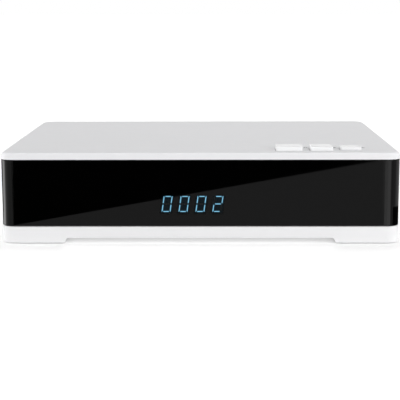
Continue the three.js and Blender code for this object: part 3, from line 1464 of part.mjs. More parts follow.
function switchHousing() {
  const [halfX, halfZ] = [SWITCH_BODY_WIDTH / 2, SWITCH_BODY_HEIGHT / 2];
  const margin = SWITCH_FLANGE_MARGIN;
  const [flangeX, flangeZ] = [halfX + margin, halfZ + margin];
  const face = PIVOT_SETBACK;
  const seat = face - SWITCH_FLANGE;
  const back = seat - SEAT_GAP - SWITCH_BODY_DEPTH;
  const flange = prism("y", roundedRect(-flangeX, flangeX, -flangeZ, flangeZ, margin), seat, face);
  const body = box(-halfX, halfX, back, face - SWITCH_FLANGE / 2, -halfZ, halfZ);
  const blades = [-1, 1].map((side) => {
    const z = side * BLADE_OFFSET;
    const [x, reach] = [BLADE_WIDTH / 2, BLADE_THICKNESS / 2];
    return box(-x, x, back - BLADE_LENGTH, back + OVERRUN, z - reach, z + reach);
  });
  const sweep = ROCKER_SWEEP + ROCKER_CLEARANCE;
  const cavityX = ROCKER_WIDTH / 2 + SEAT_GAP;
  return cut(join([flange, body, ...blades]), [
    rod("x", sweep, -cavityX, cavityX, 2 * LARGE_SIDES),
    box(-cavityX, cavityX, 0, face + OVERRUN, -sweep, sweep),
    rod("x", PIVOT_RADIUS + SEAT_GAP, -halfX - OVERRUN, halfX + OVERRUN, SMALL_SIDES),
  ]);
}

// The rocker's section: a shallow valley in front, ends round the pivot, and two short pivot pins.
function powerRocker() {
  const startAngle = Math.atan2(ROCKER_HALF_HEIGHT, ROCKER_TIP);
  const endAngle = Math.PI - Math.acos(ROCKER_BACK / ROCKER_SWEEP);
  const section = new THREE.Shape();
  section.moveTo(ROCKER_FACE, 0);
  section.absarc(0, 0, ROCKER_SWEEP, startAngle, endAngle, false);
  section.absarc(0, 0, ROCKER_SWEEP, -endAngle, -startAngle, false);
  const half = ROCKER_WIDTH / 2;
  const reach = SWITCH_BODY_WIDTH / 2 - SEAT_GAP;
  return prism("x", section, -half, half).add(rod("x", PIVOT_RADIUS, -reach, reach, SMALL_SIDES));
}

function switchWindow() {
  const [halfX, halfZ] = [SWITCH_BODY_WIDTH / 2, SWITCH_BODY_HEIGHT / 2];
  return rectWindow(halfX, SWITCH_AXIS - halfZ, SWITCH_AXIS + halfZ);
}

// The row of sockets, from the right seen from the front to the left.
const SOCKETS = [
  {
    width: TUNER_WIDTH,
    window: () => join(AERIALS.map((x) => roundWindow(AERIAL_RADIUS, x, AERIAL_AXIS))),
    pieces: () => [
      piece("tuner_can", tunerCan(), TINNED),
      ...AERIALS.flatMap((x, i) => {
        const use = ["out", "in"][i];
        const socket = piece("f_connector_" + use, aerialSocket(), NICKEL);
        const nut = piece("f_connector_nut_" + use, aerialNut(), NICKEL);
        socket.position.set(x, 0, AERIAL_AXIS);
        nut.position.set(x, 0, AERIAL_AXIS);
        return [socket, nut];
      }),
    ],
  },
  {
    width: SCART_WIDTH,
    window: () => rectWindow(SCART_WIDTH / 2, SEAT_GAP, SEAT_GAP + SCART_HEIGHT),
    pieces: () => [piece("scart_socket", scartSocket(), BLACK_PLASTIC)],
  },
  {
    width: PHONO_BLOCK_WIDTH,
    window: () => phonoWindows(2),
    pieces: () => [piece("audio_jacks", phonoBlock(2), BLACK_PLASTIC)],
  },
  {
    width: HDMI_WIDTH,
    window: () => rectWindow(HDMI_WIDTH / 2, SEAT_GAP, SEAT_GAP + HDMI_HEIGHT),
    pieces: () => [piece("hdmi_socket", hdmiSocket(), TINNED)],
  },
  {
    width: PHONO_BLOCK_WIDTH,
    window: () => phonoWindows(1),
    pieces: () => [piece("digital_audio_jack", phonoBlock(1), BLACK_PLASTIC)],
  },
  {
    width: USB_WIDTH,
    window: () => rectWindow(USB_WIDTH / 2, SEAT_GAP, SEAT_GAP + USB_HEIGHT),
    pieces: () => [piece("usb_socket", usbSocket(), TINNED)],
  },
  {
    width: INLET_WIDTH,
    window: () => rectWindow(INLET_WIDTH / 2, SEAT_GAP, INLET_HEIGHT),
    pieces: () => [piece("dc_inlet", powerInlet(), BLACK_PLASTIC)],
  },
  {
    width: SWITCH_BODY_WIDTH + 2 * SWITCH_FLANGE_MARGIN,
    window: switchWindow,
    pieces: () => {
      const housing = piece("power_switch_housing", switchHousing(), BLACK_PLASTIC);
      const rocker = piece("power_rocker", powerRocker(), BLACK_PLASTIC);
      housing.position.set(0, PIVOT_Y, SWITCH_AXIS);
      rocker.position.set(0, PIVOT_Y, SWITCH_AXIS);
      rocker.rotation.x = ROCKER_TILT;
      return [housing, rocker];
    },
  },
];

// Equal gaps share out what the sockets leave of the board's width.
function placeSockets() {
  const used = SOCKETS.reduce((sum, socket) => sum + socket.width, 0);
  const gap = (2 * BOARD_HALF_WIDTH - used) / (SOCKETS.length + 1);
  let x = BOARD_HALF_WIDTH;
  return SOCKETS.map((socket) => {
    const place = x - gap - socket.width / 2;
    x -= gap + socket.width;
    return { ...socket, x: place };
  });
}

const PLACED_SOCKETS = placeSockets();

// Rear panel: a painted sheet with a window for each socket and a row of vents above them.
function rearPanel() {
  const half = REAR_OPENING + PANEL_LAP;
  const [bottom, top] = [FLOOR_TOP + SEAT_GAP, PLATE_UNDERSIDE - SEAT_GAP];
  const sheet = box(-half, half, PANEL_INNER, PANEL_OUTER, bottom, top);
  const windows = PLACED_SOCKETS.map(({ x, window }) => moved(window(), x, PANEL_OUTER, BOARD_TOP));
  return cut(sheet, [...windows, ...panelVents(top - PANEL_VENT_DROP)]);
}

function panelVents(top) {
  const half = PANEL_VENT_WIDTH / 2;
  return spread(0, PANEL_VENT_SPAN, PANEL_VENT_PITCH).map((x) => {
    const slot = roundedRect(x - half, x + half, top - PANEL_VENT_HEIGHT, top, half);
    return prism("y", slot, PANEL_INNER - OVERRUN, PANEL_OUTER + OVERRUN, { steps: SLOT_STEPS });
  });
}

// Assembly
const receiver = new THREE.Group();

function place(parent, mesh, x, y, z) {
  mesh.position.set(x, y, z);
  parent.add(mesh);
  return mesh;
}

function addShells() {
  receiver.add(
    piece("base_tray", baseTray(), WHITE_SHELL),
    piece("top_cover", topCover(), WHITE_SHELL),
    piece("front_fascia", frontFascia(), BLACK_GLOSS),
    piece("fascia_frame", fasciaFrame(), BLACK_PLASTIC),
    piece("rear_panel", rearPanel(), PAINTED_PANEL),
  );
}

function addFeet() {
  for (const { where, x, y } of FOOT_PADS) {
    const pad = rod("z", PAD_RADIUS, 0, PAD_THICKNESS, LARGE_SIDES);
    place(receiver, piece("foot_pad_" + where, pad, RUBBER), x, y, 0);
  }
}

// The case screws point up out of the feet into the cover.
function addCaseScrews() {
  for (const { where, x, y } of CASE_BOSSES) {
    const body = screw(CASE_SCREW_RADIUS, CASE_SCREW_LENGTH, CASE_SCREW_HEAD_RADIUS, CASE_SCREW_HEAD_HEIGHT);
    const mesh = piece("case_screw_" + where, body, ZINC);
    mesh.rotation.x = Math.PI;
    place(receiver, mesh, x, y, PAD_PROUD + CASE_SCREW_DEPTH);
  }
}

function addFrontElectronics() {
  const front = new THREE.Group();
  front.position.set(0, FRONT_BOARD_Y, DISPLAY_Z);
  place(front, piece("front_board", frontBoard(), BOARD_GREEN), 0, 0, 0);
  const display = piece("display_module", displayModule(), GREY_PLASTIC);
  place(front, display, -DISPLAY_OFFSET, -SEAT_GAP - DISPLAY_DEPTH, 0);
  place(front, piece("infrared_receiver", infraredReceiver(), GREY_PLASTIC), INFRARED_X, -SEAT_GAP, 0);
  const socket = piece("front_header", header(), CREAM_PLASTIC);
  socket.rotation.x = -Math.PI / 2;
  place(front, socket, -DISPLAY_OFFSET, BOARD_THICKNESS + SEAT_GAP, -HEADER_DROP);
  FRONT_SCREWS.forEach((x, i) => {
    const mesh = piece("front_board_screw_" + ["left", "right"][i], smallScrew(), ZINC);
    mesh.rotation.x = -Math.PI / 2;
    place(front, mesh, x, BOARD_THICKNESS + SEAT_GAP, 0);
  });
  receiver.add(front);
}

function addKeys() {
  receiver.add(piece("key_board", keyBoard(), BOARD_GREEN));
  for (const key of KEYS) {
    const { x, y } = keyMiddle(key);
    receiver.add(piece(key.name + "_key", keyCap(key), WHITE_KEY));
    place(receiver, piece(key.name + "_switch", switchBody(), GREY_PLASTIC), x, y, SWITCH_BOTTOM);
    const plunger = piece(key.name + "_plunger", switchPlunger(), BLACK_PLASTIC);
    place(receiver, plunger, x, y, SWITCH_BOTTOM + SWITCH_HEIGHT);
  }
  KEY_SCREWS.forEach((x, i) => {
    const mesh = piece("key_board_screw_" + ["left", "right"][i], smallScrew(), ZINC);
    mesh.rotation.x = Math.PI;
    place(receiver, mesh, x, KEY_SCREW_Y, KEY_BOARD_BOTTOM - SEAT_GAP);
  });
}

function addMainBoard() {
  receiver.add(piece("main_board", mainBoard(), BOARD_GREEN));
  const top = new THREE.Group();
  top.position.set(0, BOARD_MIDDLE_Y, BOARD_TOP + SEAT_GAP);
  const [chipX, chipY] = [-CHIP_OFFSET, CHIP_SETBACK];
  place(top, piece("processor", processor(), BLACK_PLASTIC), chipX, chipY, 0);
  place(top, piece("heatsink", heatsink(), ALUMINIUM), chipX, chipY, CHIP_HEIGHT + SEAT_GAP);
  const memoryX = chipX + (HEATSINK_SIDE + MEMORY_WIDTH) / 2 + MEMORY_GAP;
  place(top, piece("memory_chip", memoryChip(), BLACK_PLASTIC), memoryX, chipY, 0);
  const supplyX = -BOARD_HALF_WIDTH + SUPPLY_X_INSET;
  const supplyY = BOARD_REAR - SUPPLY_Y_INSET - BOARD_MIDDLE_Y;
  for (const i of [0, 1]) {
    const can = piece("supply_capacitor_" + (i + 1), capacitor(), SLEEVE_BLUE);
    place(top, can, supplyX + i * CAPACITOR_SPACING, supplyY, 0);
  }
  const coil = piece("supply_coil", supplyCoil(), GREY_PLASTIC);
  place(top, coil, supplyX + 2 * CAPACITOR_SPACING, supplyY, 0);
  const socket = piece("main_header", header(), CREAM_PLASTIC);
  place(top, socket, -DISPLAY_OFFSET, MAIN_HEADER_Y - BOARD_MIDDLE_Y, 0);
  receiver.add(top);
  for (const { where, x, y } of BOARD_SCREWS) {
    const [radius, length] = [BOARD_SCREW_RADIUS, BOARD_SCREW_LENGTH];
    const body = screw(radius, length, BOARD_SCREW_HEAD_RADIUS, BOARD_SCREW_HEAD_HEIGHT);
    place(receiver, piece("board_screw_" + where, body, ZINC), x, y, BOARD_TOP + SEAT_GAP);
  }
  receiver.add(
    piece("card_reader", cardReader(), BLACK_PLASTIC),
    piece("front_ribbon", frontRibbon(), RIBBON_GREY),
    piece("key_ribbon", keyRibbon(), RIBBON_GREY),
  );
}

function addSockets() {
  for (const { x, pieces } of PLACED_SOCKETS) {
    const group = new THREE.Group();
    group.position.set(x, PANEL_OUTER, BOARD_TOP);
    group.add(...pieces());
    receiver.add(group);
  }
}

addShells();
addFeet();
addCaseScrews();
addFrontElectronics();
addKeys();
addMainBoard();
addSockets();

export default receiver;
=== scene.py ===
"""Looks for a low white satellite television receiver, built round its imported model.

Lengths are millimetres in the part's own frame, unless a line says otherwise.
"""

import math
from contextlib import contextmanager
from functools import cached_property

import bmesh
import bpy
from mathutils import Matrix, Vector


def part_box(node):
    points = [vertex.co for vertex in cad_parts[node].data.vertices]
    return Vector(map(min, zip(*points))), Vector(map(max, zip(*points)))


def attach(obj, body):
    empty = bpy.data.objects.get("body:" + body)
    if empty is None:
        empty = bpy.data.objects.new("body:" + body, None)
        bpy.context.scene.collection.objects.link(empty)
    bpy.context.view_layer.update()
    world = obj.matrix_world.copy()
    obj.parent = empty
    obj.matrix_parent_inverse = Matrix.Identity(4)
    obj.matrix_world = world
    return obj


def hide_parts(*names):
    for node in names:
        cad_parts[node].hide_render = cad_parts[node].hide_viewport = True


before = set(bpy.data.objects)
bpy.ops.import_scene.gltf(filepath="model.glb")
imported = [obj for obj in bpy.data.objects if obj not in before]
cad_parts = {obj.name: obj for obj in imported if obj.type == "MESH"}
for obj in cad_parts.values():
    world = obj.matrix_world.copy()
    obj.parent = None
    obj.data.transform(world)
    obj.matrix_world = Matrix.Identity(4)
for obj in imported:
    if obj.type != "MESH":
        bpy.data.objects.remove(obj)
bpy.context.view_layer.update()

MM = 0.001

# Case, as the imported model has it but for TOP_EDGE, SIDE_ROLL and UNDERSIDE
HALF_WIDTH = 118.0
FRONT = -95.5
REAR = 84.5
MIDDLE_Y = (FRONT + REAR) / 2
TOP = 54.6
CORNER = 8.0
TOP_EDGE = 0.7  # rounding along the front and the rear
SIDE_ROLL = 2.9  # rounding along the sides
WALL = 2.2
SEAM = 0.3  # between pieces
BASE_INSET = 0.4
BASE_TOP = 10.5
BASE_EDGE = 0.8
UNDERSIDE = 3.7
FLOOR_TOP = 5.5
PAD_PROUD = 0.5
LENS_INSET = 0.3
LENS_THICKNESS = 2.5
LENS_BOTTOM = 10.8
LENS_TOP = 50.0
WING_END = -73.5
PANEL_OUTER = 81.6
PANEL_INNER = 80.6
OPENING = 106.0
BOARD_TOP = 11.1
BOSSES = [(-107, -70.5), (107, -70.5), (-107, 72.5), (107, 72.5)]
BOARD_SCREWS = [(-94.5, -43.5), (94.5, -43.5), (-94.5, 22.1), (94.5, 22.1)]
KEY_POSTS = [46.2, 94.3]
PADS = {
    "foot_pad_front_left": (-92, -82.5),
    "foot_pad_front_right": (92, -82.5),
    "foot_pad_rear_left": (-92, 59.5),
    "foot_pad_rear_right": (92, 59.5),
}
CORNERS = ["front_left", "front_right", "rear_left", "rear_right"]
CASE_SCREWS = {"case_screw_" + corner: place for corner, place in zip(CORNERS, BOSSES)}
PAST_X, PAST_Y = 130, 110  # beyond the case on both sides
WELL_X, WELL_Y = (83.2, 115.0), (57.2, 87.0)  # the hollows in the feet, from the middle
STEP_X, STEP_Y = 79.55, 53.55  # middles of the S-shaped steps, from the case's middle
KEY_POST_Y = -68.7
KEY_CLEARANCE = 0.35
CARD_SLOT = (-38.4, 17.0, 13.4, 15.4)
THUMB_RECESS = (-22.7, 1.3, 11.6, 17.2)
RIM = 0.14  # rounding of the shells' and sockets' smaller edges

# Mesh clean-up
WELD_DISTANCE = 0.002
FLAT_ANGLE = 0.6  # degrees, as the next one
SHARP_ANGLE = 38

# Display
DISPLAY_X = -4.5
DISPLAY_Z = 23.6
DISPLAY_FACE = -92.4
DIGIT_PITCH = 10.0
DIGIT_WIDTH = 5.6
DIGIT_HEIGHT = 9.9
POCKET_STROKE = 0.9
DIGIT_SLANT = math.radians(8)
STROKE = 0.56
BAR_GAP = 0.78
MIDDLE_GAP = 0.4
SEGMENT_BACK = 0.37
SEGMENT_FRONT = 0.05
SHOWN = "0002"
SEGMENTS_OF = {"0": "ABCDEF", "2": "ABGED"}
DIGIT_FADE = (0.29, 0.42)  # from a digit's middle, as a share of the pitch
ROW_FADE = (0.0195, 0.0205)  # metres, as the next three
HEIGHT_FADE = (0.005, 0.0061)
LENS_MIDDLE = (-0.0935, -0.0934)
CAPACITOR_TOP = (0.02690, 0.02692)
CAPACITOR_STRIPE = (0.0362, 0.0363)

# Stage
CAMERA = (7.8, -765.3, 141.0)
CAMERA_PAN = 0.67  # degrees, as the next two
CAMERA_PITCH = -9.7
CAMERA_ROLL = -0.14
FOCAL_LENGTH = 104.15
SENSOR_WIDTH = 36
HORIZON_LIGHT = 1.0
ZENITH_LIGHT = 0.15
FLOOR_HALF = 12000
FLOOR_COLOR = 0.9
# Floor lift that only the camera and reflections see: the lower values beside the case and at the
# feet are painted contact shadow, and the higher one under the hollow is painted light
UNDER_LIFT = 0.53
BESIDE_LIFT = 0.32
FLOOR_LIFT = 0.51
UNDER_FOOT_LIFT = 0.14
BESIDE_FOOT_LIFT = 0.31
FAR_LIFT = 0.25
FOOT_EDGE = (0.076, 0.083)  # metres from the middle to where the front and rear feet begin
CARD_HEIGHT = 0.8
LAMP_TARGET = (0, 0, 0.03)  # metres, as the next two
LAMP_SIZE = (1.2, 0.8)
LAMPS = {  # place and watts
    "left_lamp": ((-1.98, -0.3, 0.5), 17.8),
    "right_lamp": ((1.5, -1.32, 0.5), 17.5),
    "front_lamp": ((0, -2.6, 0.9), 3.5),
    "rear_lamp": ((0.4, 2.0, 0.8), 12.5),
}


def srgb(red, green, blue):
    """A colour given as 0 to 255 in the display's own scale, as linear values."""
    return [
        v / 12.92 if v <= 0.04045 else ((v + 0.055) / 1.055) ** 2.4
        for v in (red / 255, green / 255, blue / 255)
    ]


# Meshes


def add_object(name, data):
    obj = bpy.data.objects.new(name, data)
    bpy.context.scene.collection.objects.link(obj)
    return obj


def new_mesh(name, points, faces):
    """An object of points in millimetres."""
    mesh = bpy.data.meshes.new(name)
    mesh.from_pydata([[c * MM for c in point] for point in points], [], faces)
    return add_object(name, mesh)


@contextmanager
def opened(mesh):
    """The mesh's geometry for editing, which is written back at the end."""
    bm = bmesh.new()
    bm.from_mesh(mesh)
    yield bm
    bm.to_mesh(mesh)
    bm.free()


def loft(rings):
    """A closed solid through rings that have the same number of points."""
    count = len(rings[0])
    points = [point for ring in rings for point in ring]
    faces = [tuple(range(count)), tuple(range(len(points) - count, len(points)))]
    for start in range(0, len(points) - count, count):
        for i in range(count):
            j = (i + 1) % count
            faces.append((start + i, start + j, start + count + j, start + count + i))
    obj = new_mesh("solid", points, faces)
    with opened(obj.data) as bm:
        bmesh.ops.recalc_face_normals(bm, faces=bm.faces)
    return obj


def along(axis, u, v, w):
    """A point w along the axis, with u and v across it."""
    return {"x": (w, u, v), "y": (u, w, v), "z": (u, v, w)}[axis]


def prism(axis, outline, start, end):
    return loft([[along(axis, u, v, w) for u, v in outline] for w in (start, end)])


def box(x0, x1, y0, y1, z0, z1):
    return prism("z", [(x0, y0), (x1, y0), (x1, y1), (x0, y1)], z0, z1)


def eased(axis, outline, start, end, first=0.0, last=0.0, steps=5):
    """A prism whose outline is a function of its inset, with its two end edges rounded."""
    quarter = [math.pi / 2 * i / steps for i in range(steps + 1)]
    rings = [(first * (1 - math.sin(a)), start + first * (1 - math.cos(a))) for a in quarter]
    rings += [
        (last * (1 - math.sin(a)), end - last * (1 - math.cos(a))) for a in reversed(quarter)
    ]
    kept = [ring for i, ring in enumerate(rings) if i == 0 or ring != rings[i - 1]]
    return loft([[along(axis, u, v, w) for u, v in outline(inset)] for inset, w in kept])


def circle(radius, sides, u=0.0, v=0.0):
    turns = [2 * math.pi * i / sides for i in range(sides)]
    return [(u + radius * math.cos(a), v + radius * math.sin(a)) for a in turns]


def turned(axis, profile, at=(0, 0, 0), sides=48):
    """A turned solid through pairs of radius and place; a radius may depend on the turn's share."""
    rings = []
    for radius, w in profile:
        ring = []
        for i in range(sides):
            share = i / sides
            r = radius(share) if callable(radius) else radius
            u, v = r * math.cos(2 * math.pi * share), r * math.sin(2 * math.pi * share)
            ring.append(tuple(Vector(along(axis, u, v, w)) + Vector(at)))
        rings.append(ring)
    return loft(rings)


def rod(axis, radius, start, end, at=(0, 0, 0), sides=48):
    return turned(axis, [(radius, start), (radius, end)], at, sides)


def rounded(x0, x1, y0, y1, radius, steps=6):
    """A rectangle with round corners, as a list of points."""
    points = []
    corners = [(x1, y0, -1), (x1, y1, 0), (x0, y1, 1), (x0, y0, 2)]
    for x, y, quarter in corners:
        cx = x - radius if x == x1 else x + radius
        cy = y - radius if y == y1 else y + radius
        for i in range(steps + 1):
            a = math.pi / 2 * (quarter + i / steps)
            points.append((cx + radius * math.cos(a), cy + radius * math.sin(a)))
    return points


def plan(inset, steps=14):
    """The case's outline seen from above, moved inwards."""
    half = HALF_WIDTH - inset
    return rounded(-half, half, FRONT + inset, REAR - inset, CORNER - inset, steps)


def gather(solids):
    """Several separate solids as one object."""
    bm = bmesh.new()
    for obj in solids:
        bm.from_mesh(obj.data)
        bpy.data.objects.remove(obj)
    mesh = bpy.data.meshes.new("gathered")
    bm.to_mesh(mesh)
    bm.free()
    return add_object("gathered", mesh)


def evaluated_mesh(obj):
    """A solid's mesh after its modifiers, or the mesh of a text."""
    bpy.context.view_layer.update()
    graph = bpy.context.evaluated_depsgraph_get()
    return bpy.data.meshes.new_from_object(obj.evaluated_get(graph), depsgraph=graph)


def combine(base, others, operation="DIFFERENCE"):
    """Cuts the other solids from the base or joins them to it."""
    for other in others:
        modifier = base.modifiers.new("combine", "BOOLEAN")
        modifier.operation = operation
        modifier.object = other
        modifier.solver = "MANIFOLD"
    mesh = evaluated_mesh(base)
    base.modifiers.clear()
    base.data = mesh
    for other in others:
        bpy.data.objects.remove(other)


def cut_flats(bm, facing, axis, places):
    """Cuts the flat faces that face one way, at places along an axis, and keeps the cuts."""
    normal = Vector([float(name == axis) for name in "xyz"])
    for place in places:
        faces = [f for f in bm.faces if abs(f.normal["xyz".index(facing)]) > 0.999]
        edges = {e for f in faces for e in f.edges}
        verts = {v for f in faces for v in f.verts}
        cut = bmesh.ops.bisect_plane(
            bm, geom=[*faces, *edges, *verts], plane_co=normal * (place * MM), plane_no=normal
        )
        for edge in cut["geom_cut"]:
            if isinstance(edge, bmesh.types.BMEdge):
                edge.seam = True


def soften(obj, width, segments=2, angle=40, cuts=(), slide=True):
    """Rounds every edge that is sharper than the angle.

    The cuts, as (facing, axis, places), divide flat faces where a long line between two
    holes would cross a rounded rim.
    """
    with opened(obj.data) as bm:
        bmesh.ops.remove_doubles(bm, verts=bm.verts, dist=WELD_DISTANCE * MM)
        for facing, axis, places in cuts:
            cut_flats(bm, facing, axis, places)
        flat = math.radians(FLAT_ANGLE)
        bmesh.ops.dissolve_limit(
            bm, angle_limit=flat, verts=bm.verts, edges=bm.edges, delimit={"SEAM"}
        )
        limit = math.radians(angle)
        sharp = [e for e in bm.edges if len(e.link_faces) == 2 and e.calc_face_angle() > limit]
        bmesh.ops.bevel(
            bm,
            geom=sharp,
            offset=width * MM,
            offset_type="OFFSET",
            segments=segments,
            profile=0.5,
            affect="EDGES",
            clamp_overlap=False,
            loop_slide=slide,
        )
        bmesh.ops.recalc_face_normals(bm, faces=bm.faces)


def moved(obj, place, tilt):
    """Turns the mesh about the x axis by an angle in radians and then moves it."""
    obj.data.transform(Matrix.Translation(Vector(place) * MM) @ Matrix.Rotation(tilt, 4, "X"))


def dress(obj, name, material, body="case", replaces=()):
    """Names a finished mesh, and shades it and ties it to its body."""
    obj.name = name
    obj.data.name = name
    obj.data.materials.clear()
    obj.data.materials.append(material)
    limit = math.radians(SHARP_ANGLE)
    with opened(obj.data) as bm:
        for face in bm.faces:
            face.smooth = True
            face.material_index = 0
        for edge in bm.edges:
            edge.smooth = len(edge.link_faces) == 2 and edge.calc_face_angle() < limit
    weighted = obj.modifiers.new("weighted", "WEIGHTED_NORMAL")
    weighted.keep_sharp = True
    weighted.weight = 80
    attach(obj, body)
    if replaces:
        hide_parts(*replaces)


# Materials


class Nodes:
    """The node tree of a material or a world, and short ways to add to it."""

    def __init__(self, owner, shader="Principled BSDF", space="Object"):
        owner.use_nodes = True
        self.owner = owner
        self.tree = owner.node_tree
        self.shader = self.tree.nodes[shader]
        self.space = space

    @cached_property
    def place(self):
        return self.add("ShaderNodeTexCoord").outputs[self.space]

    def add(self, kind, inputs=None, **settings):
        node = self.tree.nodes.new(kind)
        for key, value in settings.items():
            setattr(node, key, value)
        for key, value in (inputs or {}).items():
            self.put(node.inputs[key], value)
        return node

    def put(self, socket, value):
        if isinstance(value, bpy.types.NodeSocket):
            self.tree.links.new(value, socket)
        else:
            socket.default_value = value

    def set(self, **sockets):
        """Fills sockets of the shader; an underscore stands for a space."""
        for key, value in sockets.items():
            self.put(self.shader.inputs[key.replace("_", " ")], value)

    def swap_shader(self, shader):
        """Puts another shader in the place of the usual one."""
        self.tree.nodes.remove(self.shader)
        self.put(self.tree.nodes["Material Output"].inputs["Surface"], shader.outputs[0])

    def axis(self, name):
        """One coordinate of the place."""
        return self.add("ShaderNodeSeparateXYZ", {"Vector": self.place}).outputs[name]

    def noise(self, size, detail=2.0, stretch=(1, 1, 1)):
        """Noise whose spots are about this many millimetres across."""
        place = self.place
        if stretch != (1, 1, 1):
            mapping = self.add("ShaderNodeMapping", {"Vector": place, "Scale": stretch})
            place = mapping.outputs["Vector"]
        inputs = {"Vector": place, "Scale": 1 / (size * MM), "Detail": detail}
        return self.add("ShaderNodeTexNoise", inputs).outputs["Fac"]

    def spread(self, value, low, high, start=0.3, end=0.7):
        """A value remapped to a range."""
        inputs = {"Value": value, 1: start, 2: end, 3: low, 4: high}
        return self.add("ShaderNodeMapRange", inputs).outputs["Result"]

    def mix(self, share, first, second):
        """The first colour where the share is zero and the second where it is one."""
        ends = [c if isinstance(c, bpy.types.NodeSocket) else (*c, 1) for c in (first, second)]
        inputs = {0: share, 6: ends[0], 7: ends[1]}
        return self.add("ShaderNodeMix", inputs, data_type="RGBA").outputs[2]

    def blend(self, share, first, second):
        """The first number where the share is zero and the second where it is one."""
        return self.add("ShaderNodeMix", {0: share, 2: first, 3: second}).outputs[0]

    def math(self, operation, first, second=0.0):
        return self.add("ShaderNodeMath", {0: first, 1: second}, operation=operation).outputs[0]

    def bump(self, height, depth):
        inputs = {"Height": height, "Distance": depth * MM, "Strength": 1.0}
        self.set(Normal=self.add("ShaderNodeBump", inputs).outputs["Normal"])


def new_look(name):
    return Nodes(bpy.data.materials.new(name))


def finish(
    name,
    color,
    roughness,
    metallic=0.0,
    grain=0.35,
    depth=0.002,
    mottle=0.03,
    polish=0.04,
    stretch=(1, 1, 1),
    **sockets,
):
    """A plain finish: grain in the surface, slight clouds in colour and uneven polish.

    The grain's size and depth are millimetres, and the sockets are set as they are.
    """
    nodes = new_look(name)
    dark = [c * (1 - mottle) for c in color]
    light = [min(1.0, c * (1 + mottle)) for c in color]
    nodes.set(
        Base_Color=nodes.mix(nodes.noise(26, 3), dark, light),
        Roughness=nodes.spread(nodes.noise(7, 2, stretch), roughness - polish, roughness + polish),
        Metallic=metallic,
        **sockets,
    )
    nodes.bump(nodes.noise(grain, 3, stretch), depth)
    return nodes.owner


WHITE = finish("white_abs", srgb(238, 238, 240), 0.42, grain=0.45, depth=0.0016, mottle=0.008)
WHITE_BASE = finish("white_base", srgb(242, 242, 243), 0.45, grain=0.45, depth=0.0016, mottle=0.008)
KEY_COAT = {"polish": 0.015, "Coat_Weight": 0.6, "Coat_Roughness": 0.2}
KEY_WHITE = finish("key_white", srgb(250, 250, 251), 0.3, 0, 0.5, 0.0004, 0.003, **KEY_COAT)
# painted shadow: grey for the marks that stand in for the keys' cast shadows on the plate
PAINTED_KEY_SHADOW = finish("painted_key_shadow_grey", srgb(112, 113, 116), 0.6, grain=0.3, depth=0.0005)
LIGHT_PRINT = finish("white_print", srgb(205, 206, 206), 0.6, grain=0.3, depth=0.0005)
BLACK = finish("black_plastic", srgb(24, 24, 25), 0.5, grain=0.4, depth=0.004, mottle=0.1)
SOCKET_BLACK = finish("socket_black", srgb(20, 20, 21), 0.38, grain=0.3, depth=0.003, mottle=0.1)
GREY = finish("grey_plastic", srgb(44, 44, 47), 0.45, grain=0.4, depth=0.004, mottle=0.08)
RUBBER = finish("rubber", srgb(30, 30, 31), 0.8, grain=0.5, depth=0.02, mottle=0.15)
CREAM = finish("nylon", srgb(228, 222, 204), 0.45, grain=0.5, depth=0.003)
PANEL = finish("powder_coat", srgb(40, 40, 42), 0.55, grain=0.55, depth=0.012, mottle=0.1)
NICKEL = finish("nickel", srgb(205, 202, 196), 0.24, 1.0, 0.5, 0.001, 0.04, 0.08)
TIN = finish("tinned_sheet", srgb(196, 198, 200), 0.32, 1.0, 0.25, 0.0015, 0.03, 0.1, (1, 1, 0.12))
ZINC = finish("zinc_plate", srgb(178, 182, 186), 0.34, 1.0, grain=0.4, depth=0.003, polish=0.12)
EXTRUDED = {"grain": 0.3, "polish": 0.1, "stretch": (1, 0.06, 1)}
ALUMINIUM = finish("extruded_aluminium", srgb(186, 188, 190), 0.38, 1.0, **EXTRUDED)
GOLD = finish("gilt_contact", srgb(214, 178, 104), 0.25, 1.0, grain=0.3, depth=0.001)
DIELECTRIC = finish("dielectric", srgb(232, 230, 222), 0.5, grain=0.4)
JACK_WHITE = finish("jack_white", srgb(226, 226, 224), 0.4, grain=0.4)
JACK_RED = finish("jack_red", srgb(190, 28, 30), 0.4, grain=0.4)
JACK_ORANGE = finish("jack_orange", srgb(226, 110, 22), 0.4, grain=0.4)
RIBBON = finish("ribbon_sleeve", srgb(188, 190, 192), 0.5, grain=0.5, depth=0.003)


def near_digits(nodes):
    """One over each digit and zero between and beyond them, with soft edges."""
    up = nodes.math("SUBTRACT", nodes.axis("Z"), DISPLAY_Z * MM)
    lean = nodes.math("MULTIPLY", up, math.tan(DIGIT_SLANT))
    from_middle = nodes.math("SUBTRACT", nodes.axis("X"), DISPLAY_X * MM)
    along_row = nodes.math("SUBTRACT", from_middle, lean)
    turn = nodes.math("FRACT", nodes.math("DIVIDE", along_row, DIGIT_PITCH * MM))
    across = nodes.math("ABSOLUTE", nodes.math("SUBTRACT", turn, 0.5))
    in_digit = nodes.spread(across, 1.0, 0.0, *DIGIT_FADE)
    in_row = nodes.spread(nodes.math("ABSOLUTE", along_row), 1.0, 0.0, *ROW_FADE)
    in_height = nodes.spread(nodes.math("ABSOLUTE", up), 1.0, 0.0, *HEIGHT_FADE)
    return nodes.math("MULTIPLY", nodes.math("MULTIPLY", in_digit, in_height), in_row)


def gloss_front():
    """Smoked gloss plastic that is printed black behind, but clear over each digit."""
    nodes = new_look("gloss_black")
    window = near_digits(nodes)
    at_front = nodes.spread(nodes.axis("Y"), 1.0, 0.0, *LENS_MIDDLE)
    behind = nodes.math("SUBTRACT", 1.0, window)
    smoke = nodes.math("SUBTRACT", 1.0, nodes.math("MULTIPLY", window, 0.5))
    nodes.set(
        Alpha=nodes.blend(at_front, behind, smoke),
        Base_Color=nodes.mix(nodes.noise(30, 2), (0.0003,) * 3, (0.0005,) * 3),
        Roughness=nodes.spread(nodes.noise(9, 3), 0.02, 0.035),
        IOR=1.49,
    )
    return nodes.owner


